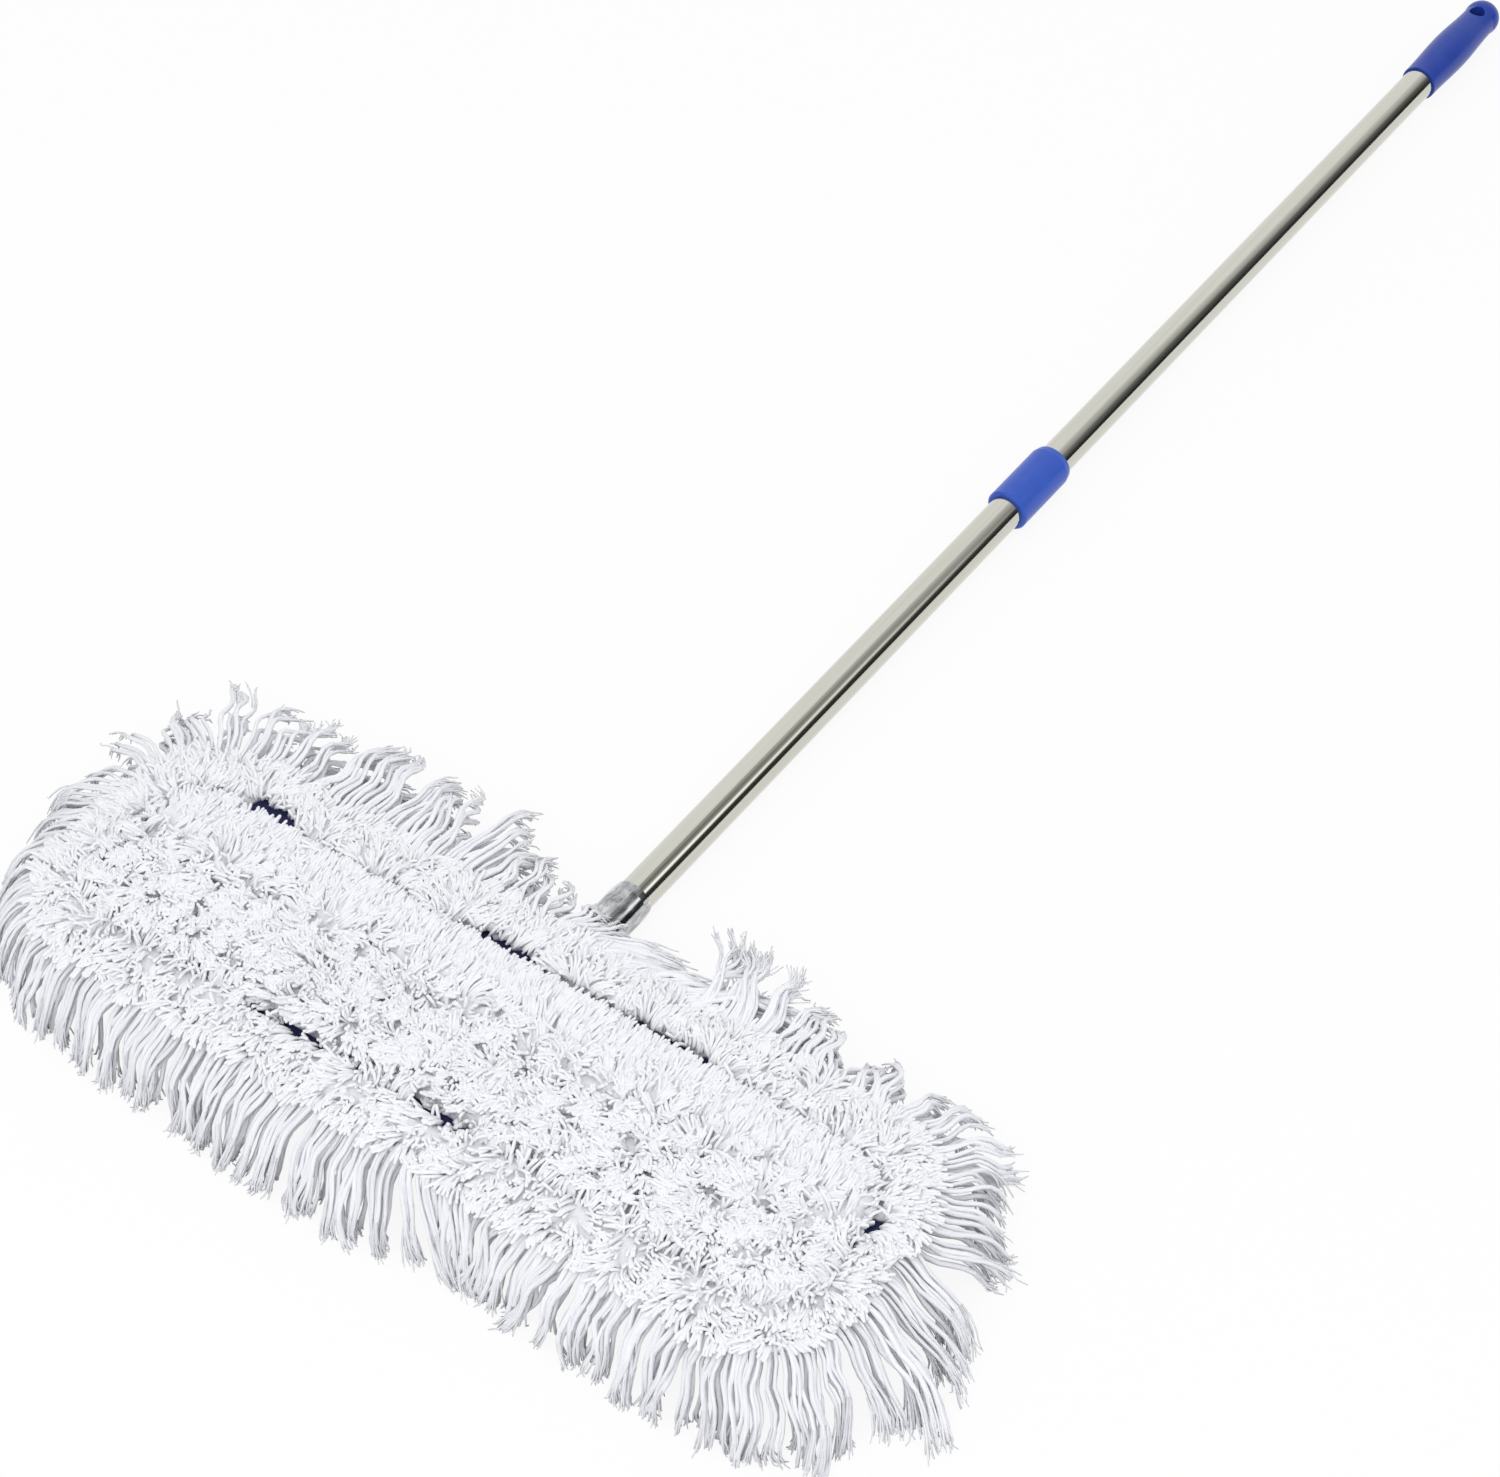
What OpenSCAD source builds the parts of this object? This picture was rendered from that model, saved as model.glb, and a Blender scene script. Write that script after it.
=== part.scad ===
// Dust mop lying face up on the floor: a tufted cotton pad over a wire frame, carried by a
// swivel and a hinge on a screw-together handle of two equal steel tubes.
// Millimetres, +Z up, floor at z = 0. The handle lies along +Y and the pad along X.

/* [Handle tubes] */
// Outside diameter of both tubes
tube_d = 25; // [22:0.5:27]
// Wall of both tubes
tube_wall = 0.8; // [0.6:0.1:1.2]
// Length of the lower tube
lower_tube_l = 591; // [450:1:700]
// Length of the upper tube
upper_tube_l = 650; // [450:1:700]

/* [Grip] */
// Length of the grip
grip_l = 118; // [117:1:150]
// Length of tube inside the grip
grip_cover_l = 84; // [60:1:84]
// Wall at the open end
grip_mouth_wall = 1.65; // [1.2:0.05:2.5]
// Wall at the palm swell
grip_swell_wall = 2.95; // [2.5:0.05:4]
// How far the neck below the rounded end stands out from the tube
grip_neck_wall = 0.9; // [0.8:0.05:2.5]
// Diameter of the hole it hangs by
hang_hole_d = 12.5; // [8:0.5:13]

/* [Screw coupling] */
// Wall of the coupling sleeve
coupling_wall = 3.45; // [2.5:0.05:5]
// Length of the coupling sleeve
coupling_l = 60; // [50:1:80]
// Diameter of the screw stud
stud_screw_d = 18; // [14:0.5:19]
// Length of the screw stud
stud_screw_l = 28; // [26:1:36]
// Thickness of the sealing washer between the tube ends
seal_t = 3; // [2:0.5:5]

/* [Socket and hinge] */
// Wall of the socket that takes the lower tube
socket_wall = 1.95; // [1.5:0.05:3]
// From the hinge axis to the top edge of the socket
socket_l = 167; // [130:1:200]
// Thickness of the flattened tongue at the hinge
tongue_t = 7; // [5:0.5:10]
// Radius of the tongue's eye
eye_r = 11; // [9:0.5:12]
// Diameter of the hinge pin
pin_d = 8; // [6:0.5:9]

/* [Swivel] */
// Diameter of the turning plate of the yoke
yoke_d = 40; // [36:1:42]
// Sheet thickness of the yoke
yoke_t = 3; // [2:0.5:4]
// Diameter of the post it turns on
post_d = 10; // [8:0.5:12]

/* [Frame] */
// From the end of the backing cloth to the middle of the wire
frame_end_inset = 28; // [26:1:60]
// From the side of the backing cloth to the middle of the wire
frame_side_inset = 34.5; // [33:0.5:45]
// Radius of the loop's corners
frame_r = 26; // [15:1:40]
// Wire diameter
wire_d = 5; // [4:0.5:6]
// Distance between the two cross wires
cross_gap = 48; // [40:1:60]
// Width of the clamp plates
clamp_w = 56; // [46:1:64]
// Thickness of the clamp plates
clamp_t = 2; // [1.5:0.5:3]

/* [Pad] */
// Length of the backing cloth
pad_l = 604; // [596:1:680]
// Width of the backing cloth
pad_w = 187; // [180:1:210]
// Corner radius of the backing cloth
pad_r = 60; // [45:1:75]
// Thickness of the backing cloth
backing_t = 1.6; // [1:0.2:3]
// Length of each end pocket
pocket_l = 132; // [90:1:150]
// Thickness of the pocket cloth
pocket_t = 1; // [0.8:0.1:1.5]
// Height of the tufts of the middle field
field_pile = 17.2; // [14:0.2:20]
// Height of the tufts of the border
border_pile = 14.5; // [11:0.5:18]
// Width of the border along the long sides
border_w = 32; // [26:1:34]
// Width of the border at the two ends
border_end_w = 19; // [15:1:22]
// Bare strip between the field and the border
channel_w = 6; // [4:0.5:9]

/* [Fringe] */
// Distance from strand to strand along the edge
strand_pitch = 7; // [6.5:0.1:9]
// Width of a strand
strand_w = 5.4; // [4:0.1:5.8]
// Thickness of a strand
strand_t = 4.6; // [3:0.1:5]
// How far the front fringe hangs out from the edge
front_run = 45; // [20:1:60]
// How far the end fringes spread from the edge
end_run = 58; // [30:1:70]
// How far the back fringe spreads over the handle
back_run = 68; // [40:1:80]
// How far the tips of the back fringe stay above the handle
back_tip_gap = 2.2; // [1:0.1:8]

/* [Hidden] */
$fn = 64;

// Clearances and the overrun of every cut
fit = 0.05;
cloth_gap = 0.3;
overrun = 1;

// Diameters that fit over the tube
tube_seat_d = tube_d + 2 * fit;
tube_bore_d = tube_d - 2 * tube_wall;
socket_d = tube_seat_d + 2 * socket_wall;
coupling_d = tube_seat_d + 2 * coupling_wall;
grip_mouth_d = tube_seat_d + 2 * grip_mouth_wall;
grip_swell_d = tube_seat_d + 2 * grip_swell_wall;
grip_neck_d = tube_seat_d + 2 * grip_neck_wall;

// Heights, from the floor up: the thickest piece of the handle lies on the floor
hinge_clear = 1;
sweep_gap = 0.4;
swivel_washer_t = 1;
clamp_head_t = 1;
handle_z = max(coupling_d, grip_swell_d) / 2;
socket_top_z = handle_z + socket_d / 2;
eye_yoke_z = handle_z + eye_r + hinge_clear;
sweep_yoke_z = socket_top_z + sweep_gap + clamp_head_t - yoke_t - swivel_washer_t;
yoke_z = max(eye_yoke_z, sweep_yoke_z);
lower_clamp_z = yoke_z + yoke_t + swivel_washer_t;
wire_z = lower_clamp_z + clamp_t + fit + wire_d / 2;
upper_clamp_z = wire_z + wire_d / 2 + fit;
backing_z = upper_clamp_z + clamp_t + fit;
pile_z = backing_z + backing_t;
under_wire_z = wire_z - wire_d / 2 - cloth_gap;
under_cloth_z = backing_z - fit;

// Hinge: tongue, washers and ears side by side along X
hinge_washer_t = 0.8;
hinge_play = 0.1;
ear_t = yoke_t;
ear_x = tongue_t / 2 + hinge_washer_t + 2 * hinge_play;
pin_head_over = 2.5;
pin_head_d = pin_d + 2 * pin_head_over;
pin_head_t = 2.5;

// Socket and tubes along the handle, measured from the hinge axis
neck_l = 10;
shoulder_gap = 3;
seat_wall = 10;
lip_l = 6;
lip_drop = 1;
rivet_d = 4.8;
rivet_head_d = 9;
rivet_head_t = 1.1;
rivet_tail_d = 7;
rivet_tail_t = 1.5;
socket_neck_y = yoke_d / 2 + shoulder_gap;
socket_body_y = socket_neck_y + neck_l;
lower_tube_y = socket_body_y + seat_wall;
lower_end_y = lower_tube_y + lower_tube_l;
rivet_y = (lower_tube_y + socket_l) / 2;
upper_tube_y = lower_end_y + seal_t;
upper_end_y = upper_tube_y + upper_tube_l;
coupling_y = (lower_end_y + upper_tube_y - coupling_l) / 2;
coupling_chamfer = 5;
coupling_lip = 1.2;
insert_l = 45;
plug_l = 40;
seal_play = 0.2;
grip_y = upper_end_y - grip_cover_l;
grip_end_y = grip_y + grip_l;

// The grip's outline: a swell between mouth and neck, then a rounded end
swell_share = 0.42;
neck_share = 0.84;
knob_turn = 18;
dome_steps = 10;
swell_steps = 16;
hole_share = 0.79;

// Wire loop, and clamp plates with rivets beside the cross wires
frame_l = pad_l - 2 * frame_end_inset;
frame_w = pad_w - 2 * frame_side_inset;
clamp_rivet_d = 5;
clamp_head_d = 9;
rivet_to_wire = 4.6;
clamp_edge_l = 8.4;
clamp_edge_w = 5.6;
clamp_rivet_x = (cross_gap + wire_d + clamp_rivet_d) / 2 + rivet_to_wire;
clamp_rivet_y = clamp_w / 2 - clamp_edge_w;
clamp_l = 2 * (clamp_rivet_x + clamp_edge_l);
post_head_over = 4;
post_head_d = post_d + 2 * post_head_over;
post_head_t = 2.4;
post_washer_over = 7;
post_washer_d = post_d + 2 * post_washer_over;
post_washer_t = 1;

// Pockets and tapes under the pad
pocket_clear = 4;
tape_w = 18;
tape_share = 0.36;
edge_tape_w = 14;
edge_tape_t = 1.2;

// Tufted field in rows along X, and the border's rounded edge in tiers
field_l = pad_l - 2 * (border_end_w + channel_w);
field_w = pad_w - 2 * (border_w + channel_w);
field_r = pad_r - border_end_w - channel_w;
field_rows = 7;
row_pitch = field_w / field_rows;
row_round_share = 0.62;
border_tiers = 4;
border_round = 6;

// Fringe: a sewn band with strands in three lengths that bend downwards
band_t = 3;
band_h = 6;
band_r = pad_r + cloth_gap + band_t;
straight_l = pad_l - 2 * pad_r;
straight_w = pad_w - 2 * pad_r;
arc_l = band_r * PI / 2;
end_l = 2 * arc_l + straight_w;
root_z = backing_z + band_h / 2;
floor_tip_z = strand_t / 2;
back_tip_z = socket_top_z + back_tip_gap + strand_t / 2;
out_shares = [0.46, 0.82, 1];
drop_shares = [0.16, 0.52, 1];
thin_shares = [1, 0.9, 0.55];
uneven_share = 0.12;
uneven_turn = 137.5;
rings = len(out_shares);
strand_points = 8 + 4 * rings;

// The part's frame: origin under the middle of the whole mop
tip_half_t = strand_t * thin_shares[rings - 1] / 2;
front_reach = pad_w / 2 + cloth_gap + band_t + front_run + tip_half_t;
mid_y = (grip_end_y - front_reach) / 2;

// Moves a piece drawn about the hinge's place on the floor into the part's frame
module placed() {
    translate([0, -mid_y, 0]) children();
}

// Turns a piece drawn along +Z so that it lies along the handle's axis
module along_handle(y) {
    translate([0, y, handle_z]) rotate([-90, 0, 0]) children();
}

// A round bar along X, centred on the hinge axis
module across_hinge(d, l) {
    translate([0, 0, handle_z]) rotate([0, 90, 0]) cylinder(d = d, h = l, center = true);
}

// A flat plate with rounded corners, centred on Z
module rounded_plate(l, w, r, t) {
    linear_extrude(t) offset(r) square([l - 2 * r, w - 2 * r], center = true);
}

// A tube along the handle
module tube(y, l) {
    along_handle(y) difference() {
        cylinder(d = tube_d, h = l);
        translate([0, 0, -overrun]) cylinder(d = tube_bore_d, h = l + 2 * overrun);
    }
}

// A rivet along Z with its head below z = 0
module rivet(d, l, head_d, head_t) {
    cylinder(d = d, h = l);
    translate([0, 0, -head_t]) cylinder(d = head_d, h = head_t);
}

// One side of the wire loop, and the bend that follows it
module loop_side(l, to_side) {
    translate([-l / 2, -to_side, 0]) rotate([0, 90, 0]) cylinder(d = wire_d, h = l);
}

module loop_bend() {
    translate([frame_l / 2 - frame_r, frame_w / 2 - frame_r, 0])
        rotate_extrude(angle = 90) translate([frame_r, 0]) circle(d = wire_d);
}

module wire_frame() color("silver") placed() translate([0, 0, wire_z]) {
    for (turn = [0, 180]) rotate(turn) {
        loop_side(frame_l - 2 * frame_r, frame_w / 2);
        rotate(90) loop_side(frame_w - 2 * frame_r, frame_l / 2);
        loop_bend();
        mirror([1, 0, 0]) loop_bend();
    }
}

module cross_wires() color("silver") placed() {
    l = frame_w - wire_d - 2 * fit;
    for (x = [-cross_gap / 2, cross_gap / 2])
        translate([x, l / 2, wire_z]) rotate([90, 0, 0]) cylinder(d = wire_d, h = l);
}

// Where the four clamp rivets go
module at_clamp_rivets() {
    for (sx = [-1, 1], sy = [-1, 1])
        translate([sx * clamp_rivet_x, sy * clamp_rivet_y, 0]) children();
}

module clamp_plate(z, hole_d) {
    translate([0, 0, z]) difference() {
        translate([-clamp_l / 2, -clamp_w / 2, 0]) cube([clamp_l, clamp_w, clamp_t]);
        translate([0, 0, -overrun]) cylinder(d = hole_d, h = clamp_t + 2 * overrun);
        at_clamp_rivets() translate([0, 0, -overrun])
            cylinder(d = clamp_rivet_d + 2 * fit, h = clamp_t + 2 * overrun);
    }
}

module lower_clamp_plate() color("gainsboro") placed() clamp_plate(lower_clamp_z, post_d + 2 * fit);

module upper_clamp_plate() color("gainsboro") placed() clamp_plate(upper_clamp_z, post_d + 2 * fit);

module clamp_rivets() color("darkgray") placed() {
    l = upper_clamp_z + clamp_t - lower_clamp_z;
    at_clamp_rivets() translate([0, 0, lower_clamp_z]) rivet(clamp_rivet_d, l, clamp_head_d, clamp_head_t);
}

module pad_backing() color("midnightblue") placed() translate([0, 0, backing_z])
    rounded_plate(pad_l, pad_w, pad_r, backing_t);

module edge_tape() color("navy") placed() translate([0, 0, under_cloth_z - edge_tape_t]) difference() {
    rounded_plate(pad_l, pad_w, pad_r, edge_tape_t);
    translate([0, 0, -overrun]) rounded_plate(
        pad_l - 2 * edge_tape_w, pad_w - 2 * edge_tape_w, pad_r - edge_tape_w, edge_tape_t + 2 * overrun
    );
}

// A pocket at the +X end: a panel under the wires with a wall on three sides, open to the middle
module pocket() {
    outer_l = frame_l + wire_d + 2 * pocket_clear;
    outer_w = frame_w + wire_d + 2 * pocket_clear;
    outer_r = frame_r + wire_d / 2 + pocket_clear;
    bottom_z = under_wire_z - pocket_t;
    h = under_cloth_z - bottom_z;
    mouth_x = outer_l / 2 - pocket_l;
    translate([0, 0, bottom_z]) difference() {
        rounded_plate(outer_l, outer_w, outer_r, h);
        translate([0, 0, pocket_t]) rounded_plate(
            outer_l - 2 * pocket_t, outer_w - 2 * pocket_t, outer_r - pocket_t, h
        );
        translate([-outer_l / 2 - overrun, -outer_w / 2 - overrun, -overrun])
            cube([outer_l / 2 + overrun + mouth_x, outer_w + 2 * overrun, h + 2 * overrun]);
    }
}

module pocket_right() color("midnightblue") placed() pocket();

module pocket_left() color("midnightblue") placed() mirror([1, 0, 0]) pocket();

// A tape sewn to the backing on both sides of the frame and drawn across under the wires
module tie_tape(side) {
    outer_w = frame_w + wire_d + 2 * pocket_clear;
    inner_w = outer_w - 2 * pocket_t;
    bottom_z = under_wire_z - pocket_t;
    h = under_cloth_z - bottom_z;
    translate([side * tape_share * frame_l / 2 - tape_w / 2, -outer_w / 2, bottom_z]) difference() {
        cube([tape_w, outer_w, h]);
        translate([-overrun, pocket_t, pocket_t]) cube([tape_w + 2 * overrun, inner_w, h]);
    }
}

module tie_tape_left() color("midnightblue") placed() tie_tape(-1);

module tie_tape_right() color("midnightblue") placed() tie_tape(1);

// The end view of the tufted rows, side by side on the cloth
module row_outline() {
    row_r = row_round_share * row_pitch;
    translate([-field_w / 2, 0]) square([field_w, field_pile - row_r]);
    for (i = [0 : field_rows - 1])
        translate([(i + 0.5) * row_pitch - field_w / 2, field_pile - row_r]) circle(row_r);
}

module tuft_field() color("white") placed() translate([0, 0, pile_z]) intersection() {
    translate([-field_l / 2, 0, 0]) rotate([90, 0, 90]) linear_extrude(field_l) row_outline();
    rounded_plate(field_l, field_w, field_r, field_pile);
}

module tuft_border() color("white") placed() {
    tier_h = border_round / border_tiers;
    base_h = border_pile - border_round;
    for (i = [0 : border_tiers]) {
        inset = i == 0 ? 0 : border_round * (1 - cos(90 * i / (border_tiers + 1)));
        z = i == 0 ? 0 : base_h + (i - 1) * tier_h;
        h = i == 0 ? base_h : tier_h;
        translate([0, 0, pile_z + z]) difference() {
            rounded_plate(pad_l - 2 * inset, pad_w - 2 * inset, pad_r - inset, h);
            translate([0, 0, -overrun]) rounded_plate(
                field_l + 2 * (channel_w + inset), field_w + 2 * (channel_w + inset),
                field_r + channel_w + inset, h + 2 * overrun
            );
        }
    }
}

// Places along the edge, each as a point, the angle it faces, its reach and the height of its tip
function straight_places(y, angle, run, tip) =
    let (n = floor(straight_l / strand_pitch), step = straight_l / n)
    [for (i = [0 : n - 1])
        [[(angle < 0 ? 1 : -1) * ((i + 0.5) * step - straight_l / 2), y], angle, run, tip]];

function end_place(s) =
    let (
        cx = straight_l / 2,
        cy = straight_w / 2,
        first = s < arc_l,
        last = s > arc_l + straight_w,
        angle = first ? s / arc_l * 90 - 90 : last ? (s - arc_l - straight_w) / arc_l * 90 : 0,
        centre = first ? [cx, -cy] : last ? [cx, cy] : [cx, s - arc_l - cy],
        turn = sin(abs(angle)) * sin(abs(angle)),
        run = angle < 0 ? end_run + (front_run - end_run) * turn : end_run + (back_run - end_run) * turn,
        tip = angle > 0 ? floor_tip_z + (back_tip_z - floor_tip_z) * turn : floor_tip_z
    )
    [centre + band_r * [cos(angle), sin(angle)], angle, run, tip];

function end_places() =
    let (n = floor(end_l / strand_pitch), step = end_l / n)
    [for (i = [0 : n - 1]) end_place((i + 0.5) * step)];

// Four corners of a strand's section: c is its centre, t lies along the edge and u stands up from it
function section(c, t, u, w, h) = [
    c - t * w / 2 - u * h / 2, c + t * w / 2 - u * h / 2,
    c + t * w / 2 + u * h / 2, c - t * w / 2 + u * h / 2
];

// The points of one strand with its piece of band: band outside, band inside, then the rings
function strand(place, i) =
    let (
        p = place[0],
        n = [cos(place[1]), sin(place[1]), 0],
        t = [-sin(place[1]), cos(place[1]), 0],
        z = [0, 0, 1],
        uneven = 1 - uneven_share * (0.5 + 0.5 * sin(i * uneven_turn)),
        run = place[2] * uneven,
        drop = root_z - place[3],
        root = [p[0], p[1], root_z],
        at = [for (k = [0 : rings - 1]) root + n * run * out_shares[k] - z * drop * drop_shares[k]],
        before = concat([root], at)
    )
    concat(
        section(root, t, z, strand_w, band_h),
        section(root - n * band_t, t, z, strand_w, band_h),
        [for (k = [0 : rings - 1])
            let (d = at[k] - before[k], u = cross(d, t) / norm(d))
            each section(at[k], t, u, strand_w * thin_shares[k], strand_t * thin_shares[k])]
    );

// Two triangles for the four points of a face
function two(a, b, c, d) = [[a, b, c], [a, c, d]];

// A row of strands and their band as one closed surface
module strand_row(places) {
    count = len(places);
    points = [for (i = [0 : count - 1]) each strand(places[i], i)];
    bands = [for (i = [0 : count - 1])
        let (b = i * strand_points)
        each concat(
            two(b + 4, b, b + 1, b + 5), two(b + 6, b + 2, b + 3, b + 7), two(b + 4, b + 5, b + 6, b + 7)
        )];
    links = [for (i = [0 : count - 2])
        let (b = i * strand_points, c = b + strand_points)
        each concat(
            two(b + 5, b + 1, c, c + 4), two(c + 7, c + 3, b + 2, b + 6),
            two(b + 5, c + 4, c + 7, b + 6), two(b + 1, b + 2, c + 3, c)
        )];
    sides = [for (i = [0 : count - 1], k = [0 : rings - 1], j = [0 : 3])
        let (
            b = i * strand_points,
            from = k == 0 ? b : b + 4 + 4 * k,
            to = b + 8 + 4 * k,
            next = (j + 1) % 4
        )
        each two(from + j, to + j, to + next, from + next)];
    tips = [for (i = [0 : count - 1])
        let (b = i * strand_points + 4 + 4 * rings) each two(b, b + 3, b + 2, b + 1)];
    last = (count - 1) * strand_points;
    ends = concat(two(7, 3, 0, 4), two(last + 5, last + 1, last + 2, last + 6));
    polyhedron(points, concat(bands, links, sides, tips, ends));
}

edge_y = pad_w / 2 + cloth_gap + band_t;

module fringe_front() color("whitesmoke") placed()
    strand_row(straight_places(-edge_y, -90, front_run, floor_tip_z));

module fringe_back() color("whitesmoke") placed()
    strand_row(straight_places(edge_y, 90, back_run, back_tip_z));

module fringe_right() color("whitesmoke") placed() strand_row(end_places());

module fringe_left() color("whitesmoke") placed() mirror([1, 0, 0]) strand_row(end_places());

module swivel_yoke() color("lightgray") placed() difference() {
    union() {
        translate([0, 0, yoke_z]) cylinder(d = yoke_d, h = yoke_t);
        for (side = [-1, 1]) translate([side * (ear_x + ear_t / 2), 0, 0]) {
            across_hinge(2 * eye_r, ear_t);
            translate([-ear_t / 2, -eye_r, handle_z]) cube([ear_t, 2 * eye_r, yoke_z + yoke_t - handle_z]);
        }
    }
    across_hinge(pin_d + 2 * fit, 2 * (ear_x + ear_t + overrun));
    translate([0, 0, yoke_z - overrun]) cylinder(d = post_d + 2 * fit, h = yoke_t + 2 * overrun);
}

module swivel_washer() color("white") placed() translate([0, 0, yoke_z + yoke_t]) difference() {
    cylinder(d = yoke_d, h = swivel_washer_t);
    translate([0, 0, -overrun]) cylinder(d = post_d + 2 * fit, h = swivel_washer_t + 2 * overrun);
}

module swivel_post() color("darkgray") placed() translate([0, 0, yoke_z]) {
    l = lower_clamp_z + clamp_t + post_washer_t + 2 * fit - yoke_z;
    cylinder(d = post_d, h = l);
    translate([0, 0, l]) cylinder(d = post_head_d, h = post_head_t);
}

module post_washer() color("gainsboro") placed()
    translate([0, 0, lower_clamp_z + clamp_t + fit]) difference() {
        cylinder(d = post_washer_d, h = post_washer_t);
        translate([0, 0, -overrun]) cylinder(d = post_d + 2 * fit, h = post_washer_t + 2 * overrun);
    }

module hinge_pin() color("darkgray") placed() {
    grip = 2 * (ear_x + ear_t + fit);
    across_hinge(pin_d, grip);
    for (side = [-1, 1]) translate([side * (grip + pin_head_t) / 2, 0, 0])
        across_hinge(pin_head_d, pin_head_t);
}

module hinge_washers() color("white") placed() {
    for (side = [-1, 1]) translate([side * (ear_x - hinge_play - hinge_washer_t / 2), 0, 0])
        difference() {
            across_hinge(2 * eye_r, hinge_washer_t);
            across_hinge(pin_d + 2 * fit, hinge_washer_t + 2 * overrun);
        }
}

module handle_socket() color("darkgray") placed() difference() {
    union() {
        across_hinge(2 * eye_r, tongue_t);
        translate([-tongue_t / 2, 0, handle_z - eye_r]) cube([tongue_t, socket_neck_y + neck_l, 2 * eye_r]);
        along_handle(socket_neck_y) cylinder(r1 = eye_r, d2 = socket_d, h = neck_l);
        along_handle(socket_body_y) cylinder(d = socket_d, h = socket_l - lip_l - socket_body_y);
        along_handle(socket_l - lip_l) cylinder(d1 = socket_d, d2 = socket_d - 2 * lip_drop, h = lip_l);
    }
    across_hinge(pin_d + 2 * fit, tongue_t + 2 * overrun);
    along_handle(lower_tube_y - fit) cylinder(d = tube_seat_d, h = socket_l);
    translate([0, rivet_y, 0]) cylinder(d = rivet_d + 2 * fit, h = handle_z);
}

module socket_rivet() color("silver") placed() {
    bore_r = tube_bore_d / 2;
    tail_r = rivet_tail_d / 2;
    outer_z = handle_z - socket_d / 2 - fit;
    l = socket_d / 2 - sqrt(bore_r * bore_r - tail_r * tail_r) + 2 * fit;
    translate([0, rivet_y, outer_z]) {
        rivet(rivet_d, l, rivet_head_d, rivet_head_t);
        translate([0, 0, l]) cylinder(d = rivet_tail_d, h = rivet_tail_t);
    }
}

module lower_tube() color("silver") placed() difference() {
    tube(lower_tube_y, lower_tube_l);
    translate([0, rivet_y, 0]) cylinder(d = rivet_d + 2 * fit, h = handle_z);
}

module lower_screw_insert() color("dimgray") placed() along_handle(lower_end_y - insert_l) difference() {
    cylinder(d = tube_bore_d - 2 * fit, h = insert_l);
    translate([0, 0, -overrun]) cylinder(d = stud_screw_d + 2 * fit, h = insert_l + 2 * overrun);
}

module coupling() color("royalblue") placed() along_handle(coupling_y) difference() {
    union() {
        cylinder(d1 = coupling_d - 2 * coupling_lip, d2 = coupling_d, h = coupling_lip);
        translate([0, 0, coupling_lip])
            cylinder(d = coupling_d, h = coupling_l - coupling_lip - coupling_chamfer);
        translate([0, 0, coupling_l - coupling_chamfer])
            cylinder(d1 = coupling_d, d2 = coupling_d - 2 * coupling_lip, h = coupling_chamfer);
    }
    translate([0, 0, -overrun]) cylinder(d = tube_seat_d, h = coupling_l + 2 * overrun);
}

module seal_washer() color("black") placed() along_handle(lower_end_y) difference() {
    cylinder(d = tube_d - 2 * seal_play, h = seal_t);
    translate([0, 0, -overrun]) cylinder(d = stud_screw_d + 2 * fit, h = seal_t + 2 * overrun);
}

module upper_tube() color("silver") placed() tube(upper_tube_y, upper_tube_l);

module upper_screw_plug() color("dimgray") placed() {
    along_handle(upper_tube_y) cylinder(d = tube_bore_d - 2 * fit, h = plug_l);
    along_handle(upper_tube_y - stud_screw_l) cylinder(d = stud_screw_d, h = stud_screw_l);
}

// Radius of the grip at a share of its length: two smooth half waves
function ease(a, b, share) = a + (b - a) * (1 - cos(180 * share)) / 2;

function grip_radius(share) =
    share < swell_share
        ? ease(grip_mouth_d, grip_swell_d, share / swell_share) / 2
        : ease(grip_swell_d, grip_neck_d, (share - swell_share) / (neck_share - swell_share)) / 2;

module hanging_grip() color("mediumblue") placed() {
    knob_r = grip_neck_d / 2 / cos(knob_turn);
    knob_l = (1 - neck_share) * grip_l / (1 + sin(knob_turn));
    knob_y = grip_l - knob_l;
    outline = concat(
        [[0, 0]],
        [for (i = [0 : swell_steps])
            let (s = neck_share * i / swell_steps) [grip_radius(s), s * grip_l]],
        [for (i = [1 : dome_steps - 1])
            let (a = (90 + knob_turn) * i / dome_steps - knob_turn) [knob_r * cos(a), knob_y + knob_l * sin(a)]],
        [[0, grip_l]]
    );
    difference() {
        along_handle(grip_y) rotate_extrude() polygon(outline);
        along_handle(grip_y - overrun) cylinder(d = tube_seat_d, h = grip_cover_l + fit + overrun);
        translate([0, grip_y + hole_share * grip_l, 0]) cylinder(d = hang_hole_d, h = 2 * handle_z);
    }
}

wire_frame();
cross_wires();
lower_clamp_plate();
upper_clamp_plate();
clamp_rivets();
pad_backing();
edge_tape();
pocket_left();
pocket_right();
tie_tape_left();
tie_tape_right();
tuft_field();
tuft_border();
fringe_front();
fringe_back();
fringe_left();
fringe_right();
swivel_yoke();
swivel_washer();
swivel_post();
post_washer();
hinge_pin();
hinge_washers();
handle_socket();
socket_rivet();
lower_tube();
lower_screw_insert();
coupling();
seal_washer();
upper_tube();
upper_screw_plug();
hanging_grip();
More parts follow.
